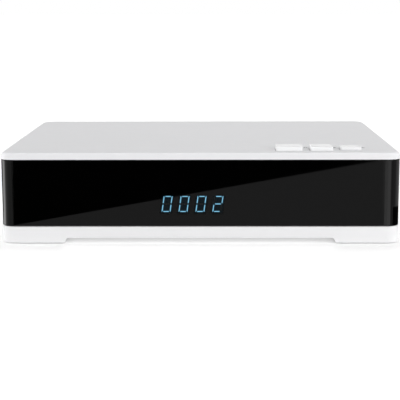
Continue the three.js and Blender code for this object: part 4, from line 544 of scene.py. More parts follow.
def glow(name, color, strength):
    """A segment's light, slightly uneven along it. On unlit segments this faint light is painted
    light, in place of the light that falls on them.
    """
    nodes = new_look(name)
    uneven = nodes.spread(nodes.noise(1.2, 2), 0.9, 1.1)
    nodes.set(
        Base_Color=(*(c * 0.2 for c in color), 1),
        Roughness=0.5,
        Emission_Color=(*color, 1),
        Emission_Strength=nodes.math("MULTIPLY", uneven, strength),
    )
    return nodes.owner


def circuit_board():
    """Green solder mask, paler over the tracks, with tinned pads."""
    nodes = new_look("solder_mask")
    bricks = {
        "Vector": nodes.place,
        "Scale": 90.0,
        "Mortar Size": 0.035,
        "Mortar Smooth": 0.1,
        "Brick Width": 0.9,
        "Row Height": 0.11,
    }
    tracks = nodes.add("ShaderNodeTexBrick", bricks).outputs["Fac"]
    cells = {"Vector": nodes.place, "Scale": 320.0, "Randomness": 0.35}
    dots = nodes.add("ShaderNodeTexVoronoi", cells).outputs["Distance"]
    some = nodes.spread(nodes.noise(14, 1), 0.0, 1.0, 0.52, 0.56)
    pads = nodes.math("MULTIPLY", nodes.spread(dots, 1.0, 0.0, 0.10, 0.14), some)
    mask = nodes.mix(nodes.noise(20, 2), srgb(22, 84, 48), srgb(28, 98, 58))
    lines = nodes.mix(tracks, mask, srgb(38, 122, 74))
    nodes.set(
        Base_Color=nodes.mix(pads, lines, srgb(190, 192, 188)),
        Roughness=nodes.spread(nodes.noise(6, 2), 0.28, 0.4),
        Metallic=pads,
    )
    nodes.bump(nodes.math("ADD", tracks, pads), 0.02)
    return nodes.owner


def capacitor_sleeve():
    """A dark shrunk sleeve with a pale stripe down one side, and a bare metal top."""
    nodes = new_look("capacitor_sleeve")
    top = nodes.spread(nodes.axis("Z"), 0.0, 1.0, *CAPACITOR_TOP)
    stripe = nodes.spread(nodes.axis("Y"), 1.0, 0.0, *CAPACITOR_STRIPE)
    sleeve = nodes.mix(nodes.noise(8, 2), srgb(28, 36, 58), srgb(34, 42, 66))
    sleeve = nodes.mix(stripe, sleeve, srgb(180, 184, 190))
    nodes.set(
        Base_Color=nodes.mix(top, sleeve, srgb(190, 192, 194)),
        Metallic=top,
        Roughness=nodes.spread(nodes.noise(5, 2), 0.3, 0.42),
    )
    nodes.bump(nodes.noise(0.5, 2), 0.004)
    return nodes.owner


def display_face():
    """The module's black face, with a faint blue glow painted round each digit as a painted spill
    of the digits' light.
    """
    nodes = new_look("display_face")
    nodes.set(
        Base_Color=nodes.mix(nodes.noise(8, 2), (0.002,) * 3, (0.003,) * 3),
        Roughness=nodes.spread(nodes.noise(3, 2), 0.45, 0.55),
        Specular_IOR_Level=0.1,
        # painted light: the face glows blue near each digit, in place of light spilled from the
        # segments
        Emission_Color=(0.0, 0.38, 0.62, 1),
        Emission_Strength=nodes.math("MULTIPLY", near_digits(nodes), 0.024),
    )
    nodes.bump(nodes.noise(0.4, 2), 0.003)
    return nodes.owner


GLOSS = gloss_front()
DISPLAY_BLACK = display_face()
LIT = glow("lit_segment", srgb(135, 206, 242), 1.75)
# painted light: the unlit segments glow faintly in place of the outside light that falls on them
UNLIT = glow("unlit_segment", srgb(92, 72, 60), 0.05)
BOARD = circuit_board()
SLEEVE = capacitor_sleeve()

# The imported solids' finishes. Screws, switches and plungers get theirs in the loop below,
# and all others that aren't named here are black plastic
CAD_FINISHES = {
    "display_module": DISPLAY_BLACK,
    "front_board": BOARD,
    "key_board": BOARD,
    "main_board": BOARD,
    "infrared_receiver": GREY,
    "supply_coil": GREY,
    "front_header": CREAM,
    "main_header": CREAM,
    "front_ribbon": RIBBON,
    "key_ribbon": RIBBON,
    "heatsink": ALUMINIUM,
    "supply_capacitor_1": SLEEVE,
    "supply_capacitor_2": SLEEVE,
    "tuner_can": TIN,
}
for node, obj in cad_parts.items():
    if "screw" in node:
        look = ZINC
    elif node.endswith(("_switch", "_plunger")):
        look = GREY
    else:
        look = CAD_FINISHES.get(node, BLACK)
    obj.data.materials.clear()
    obj.data.materials.append(look)


# Shells


def step_outline(middle, half):
    """The hollow between two feet, with an S-shaped step at each end."""
    run = 1.45

    def curve(a, b):
        middle_x = (a[0] + b[0]) / 2
        controls = [a, (middle_x, a[1]), (middle_x, b[1]), b]
        points = []
        for i in range(13):
            t = i / 12
            weights = [(1 - t) ** 3, 3 * t * (1 - t) ** 2, 3 * t * t * (1 - t), t**3]
            points.append(tuple(sum(w * c[k] for w, c in zip(weights, controls)) for k in (0, 1)))
        return points

    left = curve((middle - half - run, PAD_PROUD), (middle - half + run, UNDERSIDE))
    right = curve((middle + half - run, UNDERSIDE), (middle + half + run, PAD_PROUD))
    low = PAD_PROUD - 1
    return [(middle - half - run, low), *left, *right, (middle + half + run, low)]


def spread_out(count, pitch, middle=0.0):
    return [middle + (i - (count - 1) / 2) * pitch for i in range(count)]


def make_base():
    skin = eased("z", lambda inset: plan(BASE_INSET + inset), PAD_PROUD, 15, first=BASE_EDGE)
    wells = []
    for sx in (-1, 1):
        for sy in (-1, 1):
            xs = sorted(sx * x for x in WELL_X)
            ys = sorted(MIDDLE_Y + sy * y for y in WELL_Y)
            wells.append(prism("z", rounded(*xs, *ys, 5.4), 2.7, 6.6))
    cutters = [
        box(-PAST_X, PAST_X, -PAST_Y, PAST_Y, BASE_TOP, 60),
        prism("z", plan(BASE_INSET + WALL), FLOOR_TOP, 20),
        prism("y", step_outline(0, STEP_X), FRONT - 1, REAR + 1),
        prism("x", step_outline(MIDDLE_Y, STEP_Y), -PAST_X, PAST_X),
        *wells,
    ]
    for x in spread_out(11, 9):
        cutters.append(prism("z", rounded(x - 1.5, x + 1.5, -1.6, 32.4, 1.49), 2, 7))
    combine(skin, cutters)
    # Bosses, the board's posts, ribs beside the vents and walls that hold the rear panel
    added = [rod("z", 5, 1.6, 12, (x, y, 0)) for x, y in BOSSES]
    added += [rod("z", 3.2, 4.4, 9.2, (x, y, 0)) for x, y in BOARD_SCREWS]
    added += [box(-48, 48, y - 0.7, y + 0.7, 4.4, 7.9) for y in (-4.6, 35.4)]
    added += [box(x - 4, x + 4, 78.7, 80.3, 4.4, 9.2) for x in (-53, 53)]
    combine(skin, added, "UNION")
    # Seats of the pads, and holes for the case's and the board's screws
    holes = [rod("z", 6.3, -1, 1.7, (x, y, 0)) for x, y in PADS.values()]
    screw_hole = [(3.1, -1), (3.1, 3.4), (1.8, 3.4), (1.8, 13)]
    holes += [turned("z", screw_hole, (x, y, 0)) for x, y in BOSSES]
    holes += [rod("z", 1.7, 5.9, 10, (x, y, 0)) for x, y in BOARD_SCREWS]
    combine(skin, holes)
    beside_wells = [("z", "x", (-99, -75, 75, 99)), ("z", "y", (-77.5, -55.5, 44.5, 66.5))]
    soften(skin, RIM, cuts=beside_wells)
    dress(skin, "base_tray_shell", WHITE_BASE, replaces=["base_tray"])


KEYS = {
    "standby": {"left": 44.8, "width": 15.8, "front": -88.0, "depth": 14.0, "top": 57.0},
    "channel_down": {"left": 65.1, "width": 13.3, "front": -88.0, "depth": 14.0, "top": 57.0},
    "channel_up": {"left": 82.9, "width": 12.8, "front": -83.9, "depth": 8.6, "top": 56.4},
}


def key_plan(name, grown=0.0, corner=1.2):
    left, width, front, depth = (KEYS[name][side] for side in ("left", "width", "front", "depth"))
    ends = left - grown, left + width + grown, front - grown, front + depth + grown
    return rounded(*ends, corner + grown)


def cover_skin():
    """The outside of the cover, whose top edge is rounder at the sides than at the front."""
    around = list(zip(plan(0), plan(1)))
    rings = [[(x, y, LENS_BOTTOM) for (x, y), _ in around]]
    for i in range(9):
        a = math.pi / 2 * i / 8
        ring = []
        for (x, y), (nearer_x, nearer_y) in around:
            toward_x, toward_y = nearer_x - x, nearer_y - y
            radius = TOP_EDGE + (SIDE_ROLL - TOP_EDGE) * toward_x**2
            inset = radius * (1 - math.cos(a))
            rise = radius * (1 - math.sin(a))
            ring.append((x + toward_x * inset, y + toward_y * inset, TOP - rise))
        rings.append(ring)
    return loft(rings)


def make_cover():
    skin = cover_skin()
    cutters = [
        prism("z", plan(WALL), 0, TOP - WALL),
        box(-PAST_X, PAST_X, FRONT - 1, WING_END + SEAM, 0, LENS_TOP + SEAM),
        box(-OPENING, OPENING, REAR - WALL - 1, REAR + 1, 0, 49.4),
        box(114, 119, *CARD_SLOT),
        prism("x", rounded(*THUMB_RECESS, 2.79, 10), 117, 119),
    ]
    vents = spread_out(12, 8, 5.5)
    for y in vents:
        slot = rounded(y - 1.2, y + 1.2, 24, 44, 1.19)
        cutters += [prism("x", slot, 114, 119), prism("x", slot, -119, -114)]
    cutters += [prism("z", key_plan(name, KEY_CLEARANCE), 50, 60) for name in KEYS]
    combine(skin, cutters)
    # Bosses, the key board's posts, ribs and walls that hold the rear panel
    added = [rod("z", 4, 12.3, 53.5, (x, y, 0)) for x, y in BOSSES]
    added += [rod("z", 2.8, 43.7, 53.5, (x, KEY_POST_Y, 0)) for x in KEY_POSTS]
    added += [box(-116.9, 116.9, y - 0.7, y + 0.7, 49.4, 53.5) for y in (-30.7, 5.3, 41.3)]
    added += [box(x - 4, x + 4, 78.7, 80.3, 48.4, 53.5) for x in (-98, 0, 98)]
    combine(skin, added, "UNION")
    holes = [rod("z", 1.8, 12, 20.1, (x, y, 0)) for x, y in BOSSES]
    holes += [rod("z", 1.4, 43.4, 46.8, (x, KEY_POST_Y, 0)) for x in KEY_POSTS]
    combine(skin, holes)
    soften(skin, RIM, cuts=[("x", "y", [y + 0.3 for y in vents])])
    dress(skin, "top_cover_shell", WHITE, replaces=["top_cover"])


def make_lens():
    """The black front: one strip bent round both corners, with its long edges rounded."""
    radius = CORNER - LENS_INSET
    center_x, center_y = HALF_WIDTH - CORNER, FRONT + CORNER
    right = []
    for i in range(29):
        x, y = math.sin(math.pi / 2 * i / 28), -math.cos(math.pi / 2 * i / 28)
        right.append(((center_x + radius * x, center_y + radius * y), (x, y)))
    right.append(((HALF_WIDTH - LENS_INSET, WING_END), (1, 0)))
    path = [((-p[0], p[1]), (-n[0], n[1])) for p, n in reversed(right)] + right
    section = rounded(-LENS_THICKNESS, 0, LENS_BOTTOM, LENS_TOP, 0.22, 4)
    rings = [
        [(p[0] + n[0] * depth, p[1] + n[1] * depth, z) for depth, z in section] for p, n in path
    ]
    dress(loft(rings), "front_lens", GLOSS, replaces=["front_fascia"])


def make_keys():
    for name, key in KEYS.items():
        cap = eased("z", lambda inset: key_plan(name, -inset), 49.5, key["top"], last=0.7, steps=6)
        flange = prism("z", key_plan(name, 1.2, 0.0), 50.9, 52.1)
        x = key["left"] + key["width"] / 2
        y = key["front"] + key["depth"] / 2
        stem = box(x - 2.2, x + 2.2, y - 2.2, y + 2.2, 48.3, 51)
        combine(cap, [box(0, 118, FRONT, 0, 40, 51.5)])
        combine(cap, [flange, stem], "UNION")
        cad = name + "_key"
        dress(cap, name + "_cap", KEY_WHITE, cad, [cad])


def make_pads():
    profile = [(0.5, 0.0), (5.4, 0), (5.75, 0.08), (5.94, 0.3), (6, 0.6), (6, 1.4), (0.5, 1.4)]
    for name, (x, y) in PADS.items():
        pad = turned("z", profile, (x, y, 0), 64)
        dress(pad, name + "_disc", RUBBER, replaces=[name])


make_base()
make_cover()
make_lens()
make_keys()
make_pads()


# Display


def leaned(x, z):
    return x + z * math.tan(DIGIT_SLANT), z


def segment_outlines():
    """The seven strokes of a digit about its middle, each with its ends cut at a slant."""
    x, z = (DIGIT_WIDTH - POCKET_STROKE) / 2, (DIGIT_HEIGHT - POCKET_STROKE) / 2
    half, reach, low, high = STROKE / 2, x - BAR_GAP, MIDDLE_GAP, z + STROKE / 2
    upper = [(x + half, high), (x + half, low + half), (x, low), (x - half, low + half)]
    upper.append((x - half, high - STROKE))
    bar = [(reach, z - half), (reach + 0.1, z + half), (-reach - 0.1, z + half), (-reach, z - half)]
    middle = [(reach, -half), (reach + half, 0), (reach, half)]
    middle += [(-u, v) for u, v in reversed(middle)]
    outlines = {
        "A": bar,
        "B": upper,
        "C": [(u, -v) for u, v in upper],
        "D": [(u, -v) for u, v in bar],
        "E": [(-u, -v) for u, v in upper],
        "F": [(-u, v) for u, v in upper],
        "G": middle,
    }
    return {name: [leaned(*corner) for corner in outline] for name, outline in outlines.items()}


def make_display():
    """The module with a pocket for each stroke and point, and the strokes that lie in them."""
    low, high = (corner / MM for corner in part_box("display_module"))
    block = box(low.x, high.x, low.y, high.y, low.z, high.z)
    soften(block, 0.25, 3)
    pockets, lit, unlit = [], [], []
    start, end = DISPLAY_FACE + SEGMENT_FRONT, DISPLAY_FACE + SEGMENT_BACK
    for digit, middle in zip(SHOWN, spread_out(len(SHOWN), DIGIT_PITCH, DISPLAY_X)):
        outlines = segment_outlines()
        u, v = leaned(DIGIT_WIDTH / 2 + 1.5, 0.55 - DIGIT_HEIGHT / 2)
        outlines["point"] = circle(0.5, 20, u, v)
        for name, outline in outlines.items():
            placed = [(middle + u, DISPLAY_Z + v) for u, v in outline]
            pockets.append(prism("y", placed, low.y - 1, end))
            (lit if name in SEGMENTS_OF[digit] else unlit).append(prism("y", placed, start, end))
    combine(block, pockets)
    dress(block, "display_block", DISPLAY_BLACK, replaces=["display_module"])
    dress(gather(lit), "lit_segments", LIT)
    dress(gather(unlit), "unlit_segments", UNLIT)


make_display()


# Painted shadows of the keys: thin grey marks shaped as legends on the plate, to the right of each
# key


def band(x, y, inner, outer, start, end, steps=20):
    """A flat arc between two radii."""
    turns = [start + (end - start) * i / steps for i in range(steps + 1)]
    outside = [(x + outer * math.cos(a), y + outer * math.sin(a)) for a in turns]
    inside = [(x + inner * math.cos(a), y + inner * math.sin(a)) for a in reversed(turns)]
    return outside + inside


# Painted shadow: the marks lie to the right of each key, where its shadow falls, in the shapes of
# legends
def make_painted_key_shadows():
    y = -73.2
    low, high = TOP, TOP + 0.02
    gap = math.radians(38)
    x = 62.6
    ring = band(x, y - 0.1, 1.1, 1.7, math.pi / 2 + gap, 2.5 * math.pi - gap)
    bar = rounded(x - 0.3, x + 0.3, y + 0.1, y + 2.0, 0.19, 3)
    down = [(78.4, y + 1.4), (80.2, y - 1.6), (82.0, y + 1.4)]
    up = [(95.4, y - 1.4), (99.0, y - 1.4), (97.2, y + 1.6)]
    marks = [prism("z", outline, low, high) for outline in (ring, bar, down, up)]
    dress(gather(marks), "painted_key_shadows", PAINTED_KEY_SHADOW)


make_painted_key_shadows()


# Rear panel and its sockets

PHONO_PLACES = {"upper": (1.4, 32.5), "lower": (1.4, 18.5), "digital": (-35.2, 18.5)}
AERIALS = {"out": 71.3, "in": 88.3}
AERIAL_Z = 18.5
FACE = PANEL_OUTER + 0.8  # rear faces of the flat sockets
SCART = (35.6, 20.9)
VIDEO_X, USB_X, INLET_X = -16.9, -52.6, -69.2
INLET_Z = 17.6
SOCKET_BOTTOM = 11.4
PIVOT = (-87.2, 79.9, 26.1)
THROUGH = (79, 83)  # cuts through the panel


def make_panel():
    sheet = box(-109, 109, PANEL_INNER, PANEL_OUTER, 5.8, 52.1)
    windows = [
        (SCART[0], 23.8, BOARD_TOP, 30.7),
        (VIDEO_X, 7.9, BOARD_TOP, 17.5),
        (USB_X, 7, BOARD_TOP, 17.9),
        (INLET_X, 5, BOARD_TOP, 22.4),
        (PIVOT[0], 7, PIVOT[2] - 10.3, PIVOT[2] + 10.3),
    ]
    cutters = [box(x - half, x + half, *THROUGH, z0, z1) for x, half, z0, z1 in windows]
    cutters += [rod("y", 5, *THROUGH, (x, 0, AERIAL_Z), 64) for x in AERIALS.values()]
    cutters += [rod("y", 4.45, *THROUGH, (x, 0, z), 64) for x, z in PHONO_PLACES.values()]
    for x in spread_out(15, 8):
        cutters.append(prism("y", rounded(x - 1.2, x + 1.2, 39.1, 46.1, 1.19), *THROUGH))
    combine(sheet, cutters)
    soften(sheet, 0.1)
    dress(sheet, "rear_panel_sheet", PANEL, replaces=["rear_panel"])


def thread(y, pitch=0.79, crest=4.7, root=4.32):
    """The radius of a screw thread at a place along its axis, as it runs round."""

    def radius(share):
        rise = abs(2 * ((y / pitch - share) % 1) - 1)
        return root + (crest - root) * min(1, max(0, 1.5 * rise - 0.25))

    return radius


def make_aerials():
    barrel = [(0.5, 78.3), (6.1, 78.3), (6.2, 78.4), (6.2, 80.2), (6.1, 80.3), (4.7, 80.3)]
    barrel += [(4.7, 84.7), *[(thread(84.8 + 0.1 * i), 84.8 + 0.1 * i) for i in range(102)]]
    barrel += [(4.25, 95.2), (4.0, 95.5), (3.4, 95.5), (3.3, 95.4), (3.3, 87.9), (0.5, 87.9)]
    insulator = [(0.1, 87.95), (3.26, 87.95), (3.26, 94.6), (3.16, 94.7), (0.7, 94.7)]
    insulator += [(0.6, 94.6), (0.6, 88.5), (0.1, 88.5)]
    spring = [(0.1, 88.55), (0.54, 88.55), (0.54, 94.3), (0.4, 94.3), (0.4, 89), (0.1, 89)]
    for name, x in AERIALS.items():
        at = (x, 0, AERIAL_Z)
        cad = "f_connector_" + name
        dress(turned("y", barrel, at, 60), cad + "_barrel", NICKEL, replaces=[cad])
        dress(turned("y", insulator, at), cad + "_insulator", DIELECTRIC)
        dress(turned("y", spring, at, 24), cad + "_contact", GOLD)
        make_nut(name, at)


def make_nut(name, at):
    radius = 11 / math.sqrt(3)
    corners = [(at[0] + u, at[2] + v) for u, v in circle(radius, 6)]
    hexagon = prism("y", corners, 81.9, 84.4)
    cone = [(0.5, 81), (radius - 0.9, 81.9), (radius, 82.3), (radius, 83.9)]
    cone += [(radius - 1, 84.4), (0.5, 85.2)]
    combine(hexagon, [turned("y", cone, at, 72)], "INTERSECT")
    combine(hexagon, [rod("y", 5, 81, 86, at, 72)])
    soften(hexagon, 0.06, angle=25)
    cad = "f_connector_nut_" + name
    dress(hexagon, cad + "_hexagon", NICKEL, replaces=[cad])


def scart_outline(inset):
    x, z = 22 - inset, 6.8 - inset
    points = [(-x, -z), (x - 4, -z), (x, -z + 4), (x, z), (-x, z)]
    return [(SCART[0] + u, SCART[1] + v) for u, v in points]


def make_scart():
    x, z = SCART
    body = box(x - 23.5, x + 23.5, FACE - 23, FACE, z - 9.5, z + 9.5)
    channel = prism("y", scart_outline(0), FACE - 9, FACE + 1)
    combine(channel, [prism("y", scart_outline(1.7), FACE - 23, FACE + 2)])
    slots, leaves = [], []
    for row in (-1, 1):
        for i in range(10):
            cx = x + (i - 4.5 + row / 4) * 3.81
            cz = z + row * 2.5
            slots.append(box(cx - 0.5, cx + 0.5, FACE - 6, FACE + 1, cz - 1.7, cz + 1.7))
            leaf = [(-5.9, -1.5), (-1.2, -1.5), (-0.6, -1.0), (-0.6, 1.0), (-1.2, 1.5), (-5.9, 1.5)]
            outline = [(FACE + y, cz + up) for y, up in leaf]
            leaves.append(prism("x", outline, cx - 0.22, cx + 0.22))
    combine(body, [channel, *slots])
    soften(body, RIM)
    dress(body, "scart_socket_body", SOCKET_BLACK, replaces=["scart_socket"])
    dress(gather(leaves), "scart_contacts", GOLD)


def make_phonos():
    cup = [(0.3, 80.35), (4.15, 80.35), (4.15, 89.65), (4.05, 89.92), (3.85, 90), (3.3, 90)]
    cup += [(3.1, 89.85), (3.1, 87.6), (2.42, 87.6), (2.42, 81.6), (0.3, 81.6)]
    core = [(0.3, 81.65), (2.38, 81.65), (2.38, 89.5), (2.28, 89.7), (1.65, 89.7), (1.55, 89.6)]
    core += [(1.55, 81.9), (0.3, 81.9)]
    sleeve = [(0.3, 81.95), (1.5, 81.95), (1.5, 89.3), (1.32, 89.3), (1.32, 82.1), (0.3, 82.1)]
    colors = {"upper": JACK_WHITE, "lower": JACK_RED, "digital": JACK_ORANGE}
    for name, (x, z) in PHONO_PLACES.items():
        at = (x, 0, z)
        dress(turned("y", cup, at, 64), "phono_shell_" + name, NICKEL)
        dress(turned("y", core, at), "phono_core_" + name, colors[name])
        dress(turned("y", sleeve, at), "phono_sleeve_" + name, NICKEL)
    for name, x, top in (("audio_jacks", 1.4, 38.7), ("digital_audio_jack", -35.2, 24.7)):
        block = box(x - 5.5, x + 5.5, 69.3, 80.3, SOCKET_BOTTOM, top)
        soften(block, 0.3, 3)
        dress(block, name + "_block", SOCKET_BLACK, replaces=[name])


def make_video_socket():
    x, low, high = VIDEO_X, SOCKET_BOTTOM, 17.2

    def outline(inset):
        half, bottom, top = 7.6 - inset, low + inset, high - inset
        points = [(-half + 1.9, bottom), (half - 1.9, bottom), (half, bottom + 1.9)]
        points += [(half, top), (-half, top), (-half, bottom + 1.9)]
        return [(x + u, v) for u, v in points]

    shell = prism("y", outline(0), FACE - 12, FACE)
    combine(shell, [prism("y", outline(0.5), FACE - 9, FACE + 1)])
    soften(shell, 0.12)
    dress(shell, "video_socket_shell", TIN, replaces=["hdmi_socket"])
    middle = (low + high) / 2
    tongue = box(x - 5.8, x + 5.8, FACE - 9.2, FACE - 0.8, middle - 0.55, middle + 0.55)
    soften(tongue, 0.15)
    dress(tongue, "video_socket_tongue", SOCKET_BLACK)
    strips = []
    for side, count in ((1, 10), (-1, 9)):
        z0, z1 = sorted((middle + side * 0.5, middle + side * 0.6))
        for cx in spread_out(count, 1.0, x):
            strips.append(box(cx - 0.22, cx + 0.22, FACE - 8.9, FACE - 1.3, z0, z1))
    dress(gather(strips), "video_socket_contacts", GOLD)


def make_usb():
    x, low, high = USB_X, SOCKET_BOTTOM, 17.6
    shell = box(x - 6.7, x + 6.7, FACE - 14, FACE, low, high)
    combine(shell, [box(x - 6.2, x + 6.2, FACE - 9, FACE + 1, low + 0.5, high - 0.5)])
    soften(shell, 0.12)
    dress(shell, "usb_socket_shell", TIN, replaces=["usb_socket"])
    tongue = box(x - 5.5, x + 5.5, FACE - 9.2, FACE - 0.8, 14.4, 16.2)
    soften(tongue, 0.15)
    dress(tongue, "usb_socket_tongue", JACK_WHITE)
    strips = []
    for cx in (x - 3.5, x - 1, x + 1, x + 3.5):
        strips.append(box(cx - 0.5, cx + 0.5, FACE - 8.9, FACE - 1.6, 14.32, 14.45))
    dress(gather(strips), "usb_socket_contacts", GOLD)


def make_inlet():
    x, at = INLET_X, (INLET_X, 0, INLET_Z)
    block = box(x - 4.7, x + 4.7, FACE - 14, FACE, SOCKET_BOTTOM, 22.1)
    lead_in = [(3.2, FACE - 9), (3.2, FACE - 0.3), (3.5, FACE), (3.5, FACE + 1)]
    combine(block, [turned("y", lead_in, at, 64)])
    soften(block, 0.2)
    dress(block, "dc_inlet_block", SOCKET_BLACK, replaces=["dc_inlet"])
    pin = [(0.1, FACE - 9.1), (1, FACE - 9.1), (1, FACE - 1.3), (0.9, FACE - 1)]
    pin += [(0.6, FACE - 0.83), (0.1, FACE - 0.8)]
    dress(turned("y", pin, at, 32), "dc_inlet_pin", NICKEL)


def make_switch():
    x, y, z = PIVOT

    def outline(inset):
        return rounded(x - 8.1 + inset, x + 8.1 - inset, z - 11.4 + inset, z + 11.4 - inset, 1.4)

    housing = eased("y", outline, y + 2, y + 3.6, last=0.5)
    body = box(x - 6.7, x + 6.7, y - 13.3, y + 2.8, z - 10, z + 10)
    blades = [box(x - 2.4, x + 2.4, y - 20.3, y - 12.3, z + v - 0.4, z + v + 0.4) for v in (-5, 5)]
    combine(housing, [body, *blades], "UNION")
    room = 9.075  # round the rocker's pivot
    cavity = [rod("x", room, -5.3, 5.3, PIVOT, 96), rod("x", 1.8, -8, 8, PIVOT, 32)]
    cavity.append(box(x - 5.3, x + 5.3, y, y + 5, z - room, z + room))
    combine(housing, cavity)
    soften(housing, 0.08, slide=False)
    cad = "power_switch_housing"
    dress(housing, "power_switch_frame", SOCKET_BLACK, replaces=[cad])


def make_rocker():
    tilt = math.radians(10)
    face, half, back = 3.4, 7.3, 2.5
    tip = face + half * math.tan(tilt)
    sweep = math.hypot(tip, half)
    start, end = math.atan2(half, tip), math.pi - math.acos(back / sweep)
    turns = [start + (end - start) * i / 14 for i in range(15)]
    upper = [(sweep * math.cos(a), sweep * math.sin(a)) for a in turns]
    outline = [(face, 0), *upper, *[(y, -z) for y, z in reversed(upper)]]
    rocker = prism("x", outline, -5, 5)
    combine(rocker, [rod("x", 1.5, -6.4, 6.4, (0, 0, 0), 32)], "UNION")
    soften(rocker, 0.22, 3, angle=18)
    moved(rocker, PIVOT, tilt)
    dress(rocker, "power_rocker_cap", BLACK, "power_rocker", ["power_rocker"])
    bar = prism("y", rounded(-0.35, 0.35, -1.5, 1.5, 0.2), -0.03, 0.03)
    ring = prism("y", band(0, 0, 1.1, 1.65, 0, 2 * math.pi - 0.01, 40), -0.03, 0.03)
    rise = 3.9
    for mark, side in ((bar, 1), (ring, -1)):
        moved(mark, (0, face + rise * math.tan(tilt), side * rise), -side * tilt)
    marks = gather([bar, ring])
    moved(marks, PIVOT, tilt)
    dress(marks, "power_rocker_marks", LIGHT_PRINT, "power_rocker")


def make_print(name, words, x, z, size):
    """Small printed words on the rear panel, read from behind."""
    curve = bpy.data.curves.new(name, "FONT")
    curve.body = words
    curve.size = size * MM
    curve.extrude = 0.02 * MM
    curve.align_x = "CENTER"
    text = add_object(name, curve)
    mesh = evaluated_mesh(text)
    bpy.data.objects.remove(text)
    upright = Matrix.Rotation(math.pi, 4, "Z") @ Matrix.Rotation(math.pi / 2, 4, "X")
    mesh.transform(Matrix.Translation(Vector((x, PANEL_OUTER, z)) * MM) @ upright)
    with opened(mesh) as bm:
        bmesh.ops.remove_doubles(bm, verts=bm.verts, dist=0.001 * MM)
        bmesh.ops.recalc_face_normals(bm, faces=bm.faces)
    return add_object(name, mesh)


def make_rear_print():
    words = [
        ("OUT", AERIALS["out"], 26.2),
        ("IN", AERIALS["in"], 26.2),
        ("VIDEO", SCART[0], 32.2),
        ("L", -6.2, 31.6),
        ("R", -6.2, 17.6),
        ("VIDEO", VIDEO_X, 19.0),
        ("DIGITAL", PHONO_PLACES["digital"][0], 26.2),
        ("SERVICE", USB_X, 19.4),
        ("12 V", INLET_X, 24.0),
        ("POWER", PIVOT[0], 39.2),
    ]
    prints = [make_print("print", text, x, z, 3.0) for text, x, z in words]
    dress(gather(prints), "rear_print", LIGHT_PRINT)


def make_case_screws():
    for name, (x, y) in CASE_SCREWS.items():
        low, high = (corner.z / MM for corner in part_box(name))
        profile = [(0.3, low), (1.6, low), (2.3, low + 0.25), (2.7, low + 0.8), (2.8, low + 1.3)]
        profile += [(2.8, low + 1.7), (1.5, low + 1.7)]
        core = [(thread(w, 1.2, 1.5, 1.15), w) for w in (low + 1.8 + 0.15 * i for i in range(90))]
        profile += [(r, w) for r, w in core if w < high - 1.2]
        screw = turned("z", [*profile, (1.1, high - 1.0), (0.3, high)], (x, y, 0), 36)
        arms = [(1.5, 0.3), (0.3, 1.5)]
        combine(screw, [box(x - a, x + a, y - b, y + b, low - 1, low + 1.1) for a, b in arms])
        dress(screw, name + "_turned", ZINC, replaces=[name])


make_panel()
make_aerials()
make_scart()
make_phonos()
make_video_socket()
make_usb()
make_inlet()
make_switch()
make_rocker()
make_rear_print()
make_case_screws()


# Camera, floor and light


def make_camera():
    camera = add_object("camera", bpy.data.cameras.new("camera"))
    pan = Matrix.Rotation(math.radians(CAMERA_PAN), 4, "Z")
    pitch = Matrix.Rotation(math.radians(90 + CAMERA_PITCH), 4, "X")
    roll = Matrix.Rotation(math.radians(CAMERA_ROLL), 4, "Z")
    camera.matrix_world = Matrix.Translation(Vector(CAMERA) * MM) @ pan @ pitch @ roll
    camera.data.sensor_width = SENSOR_WIDTH
    camera.data.lens = FOCAL_LENGTH
    camera.data.clip_start = 0.01
    camera.data.clip_end = 100
    bpy.context.scene.camera = camera


def seen_share(nodes):
    """One for what the camera, a gloss or a clear surface sees, and zero for light that spreads."""
    path = nodes.add("ShaderNodeLightPath").outputs
    direct = nodes.math("MAXIMUM", path["Is Camera Ray"], path["Is Glossy Ray"])
    return nodes.math("MAXIMUM", direct, path["Is Transmission Ray"])


def outside_distance(nodes):
    """How far a place on the floor lies outside the case's outline, in metres."""
    value = nodes.place
    steps = [
        ("SUBTRACT", (0, MIDDLE_Y * MM, 0)),
        ("ABSOLUTE", (0, 0, 0)),
        ("SUBTRACT", (HALF_WIDTH * MM, (REAR - FRONT) / 2 * MM, 0)),
        ("MAXIMUM", (0, 0, 0)),
    ]
    for operation, other in steps:
        node = nodes.add("ShaderNodeVectorMath", {0: value, 1: other}, operation=operation)
        value = node.outputs["Vector"]
    return nodes.add("ShaderNodeVectorMath", {0: value}, operation="LENGTH").outputs["Value"]


def make_world():
    """White behind the subject; the light itself is strong low down and weak overhead."""
    world = bpy.data.worlds.new("studio")
    bpy.context.scene.world = world
    nodes = Nodes(world, "Background", "Generated")
    up = nodes.axis("Z")
    light = nodes.spread(up, HORIZON_LIGHT, ZENITH_LIGHT, 0, 1)
    seen = nodes.spread(up, 1.0, ZENITH_LIGHT, 0.45, 1)
    nodes.set(Color=(1, 1, 1, 1), Strength=nodes.blend(seen_share(nodes), light, seen))


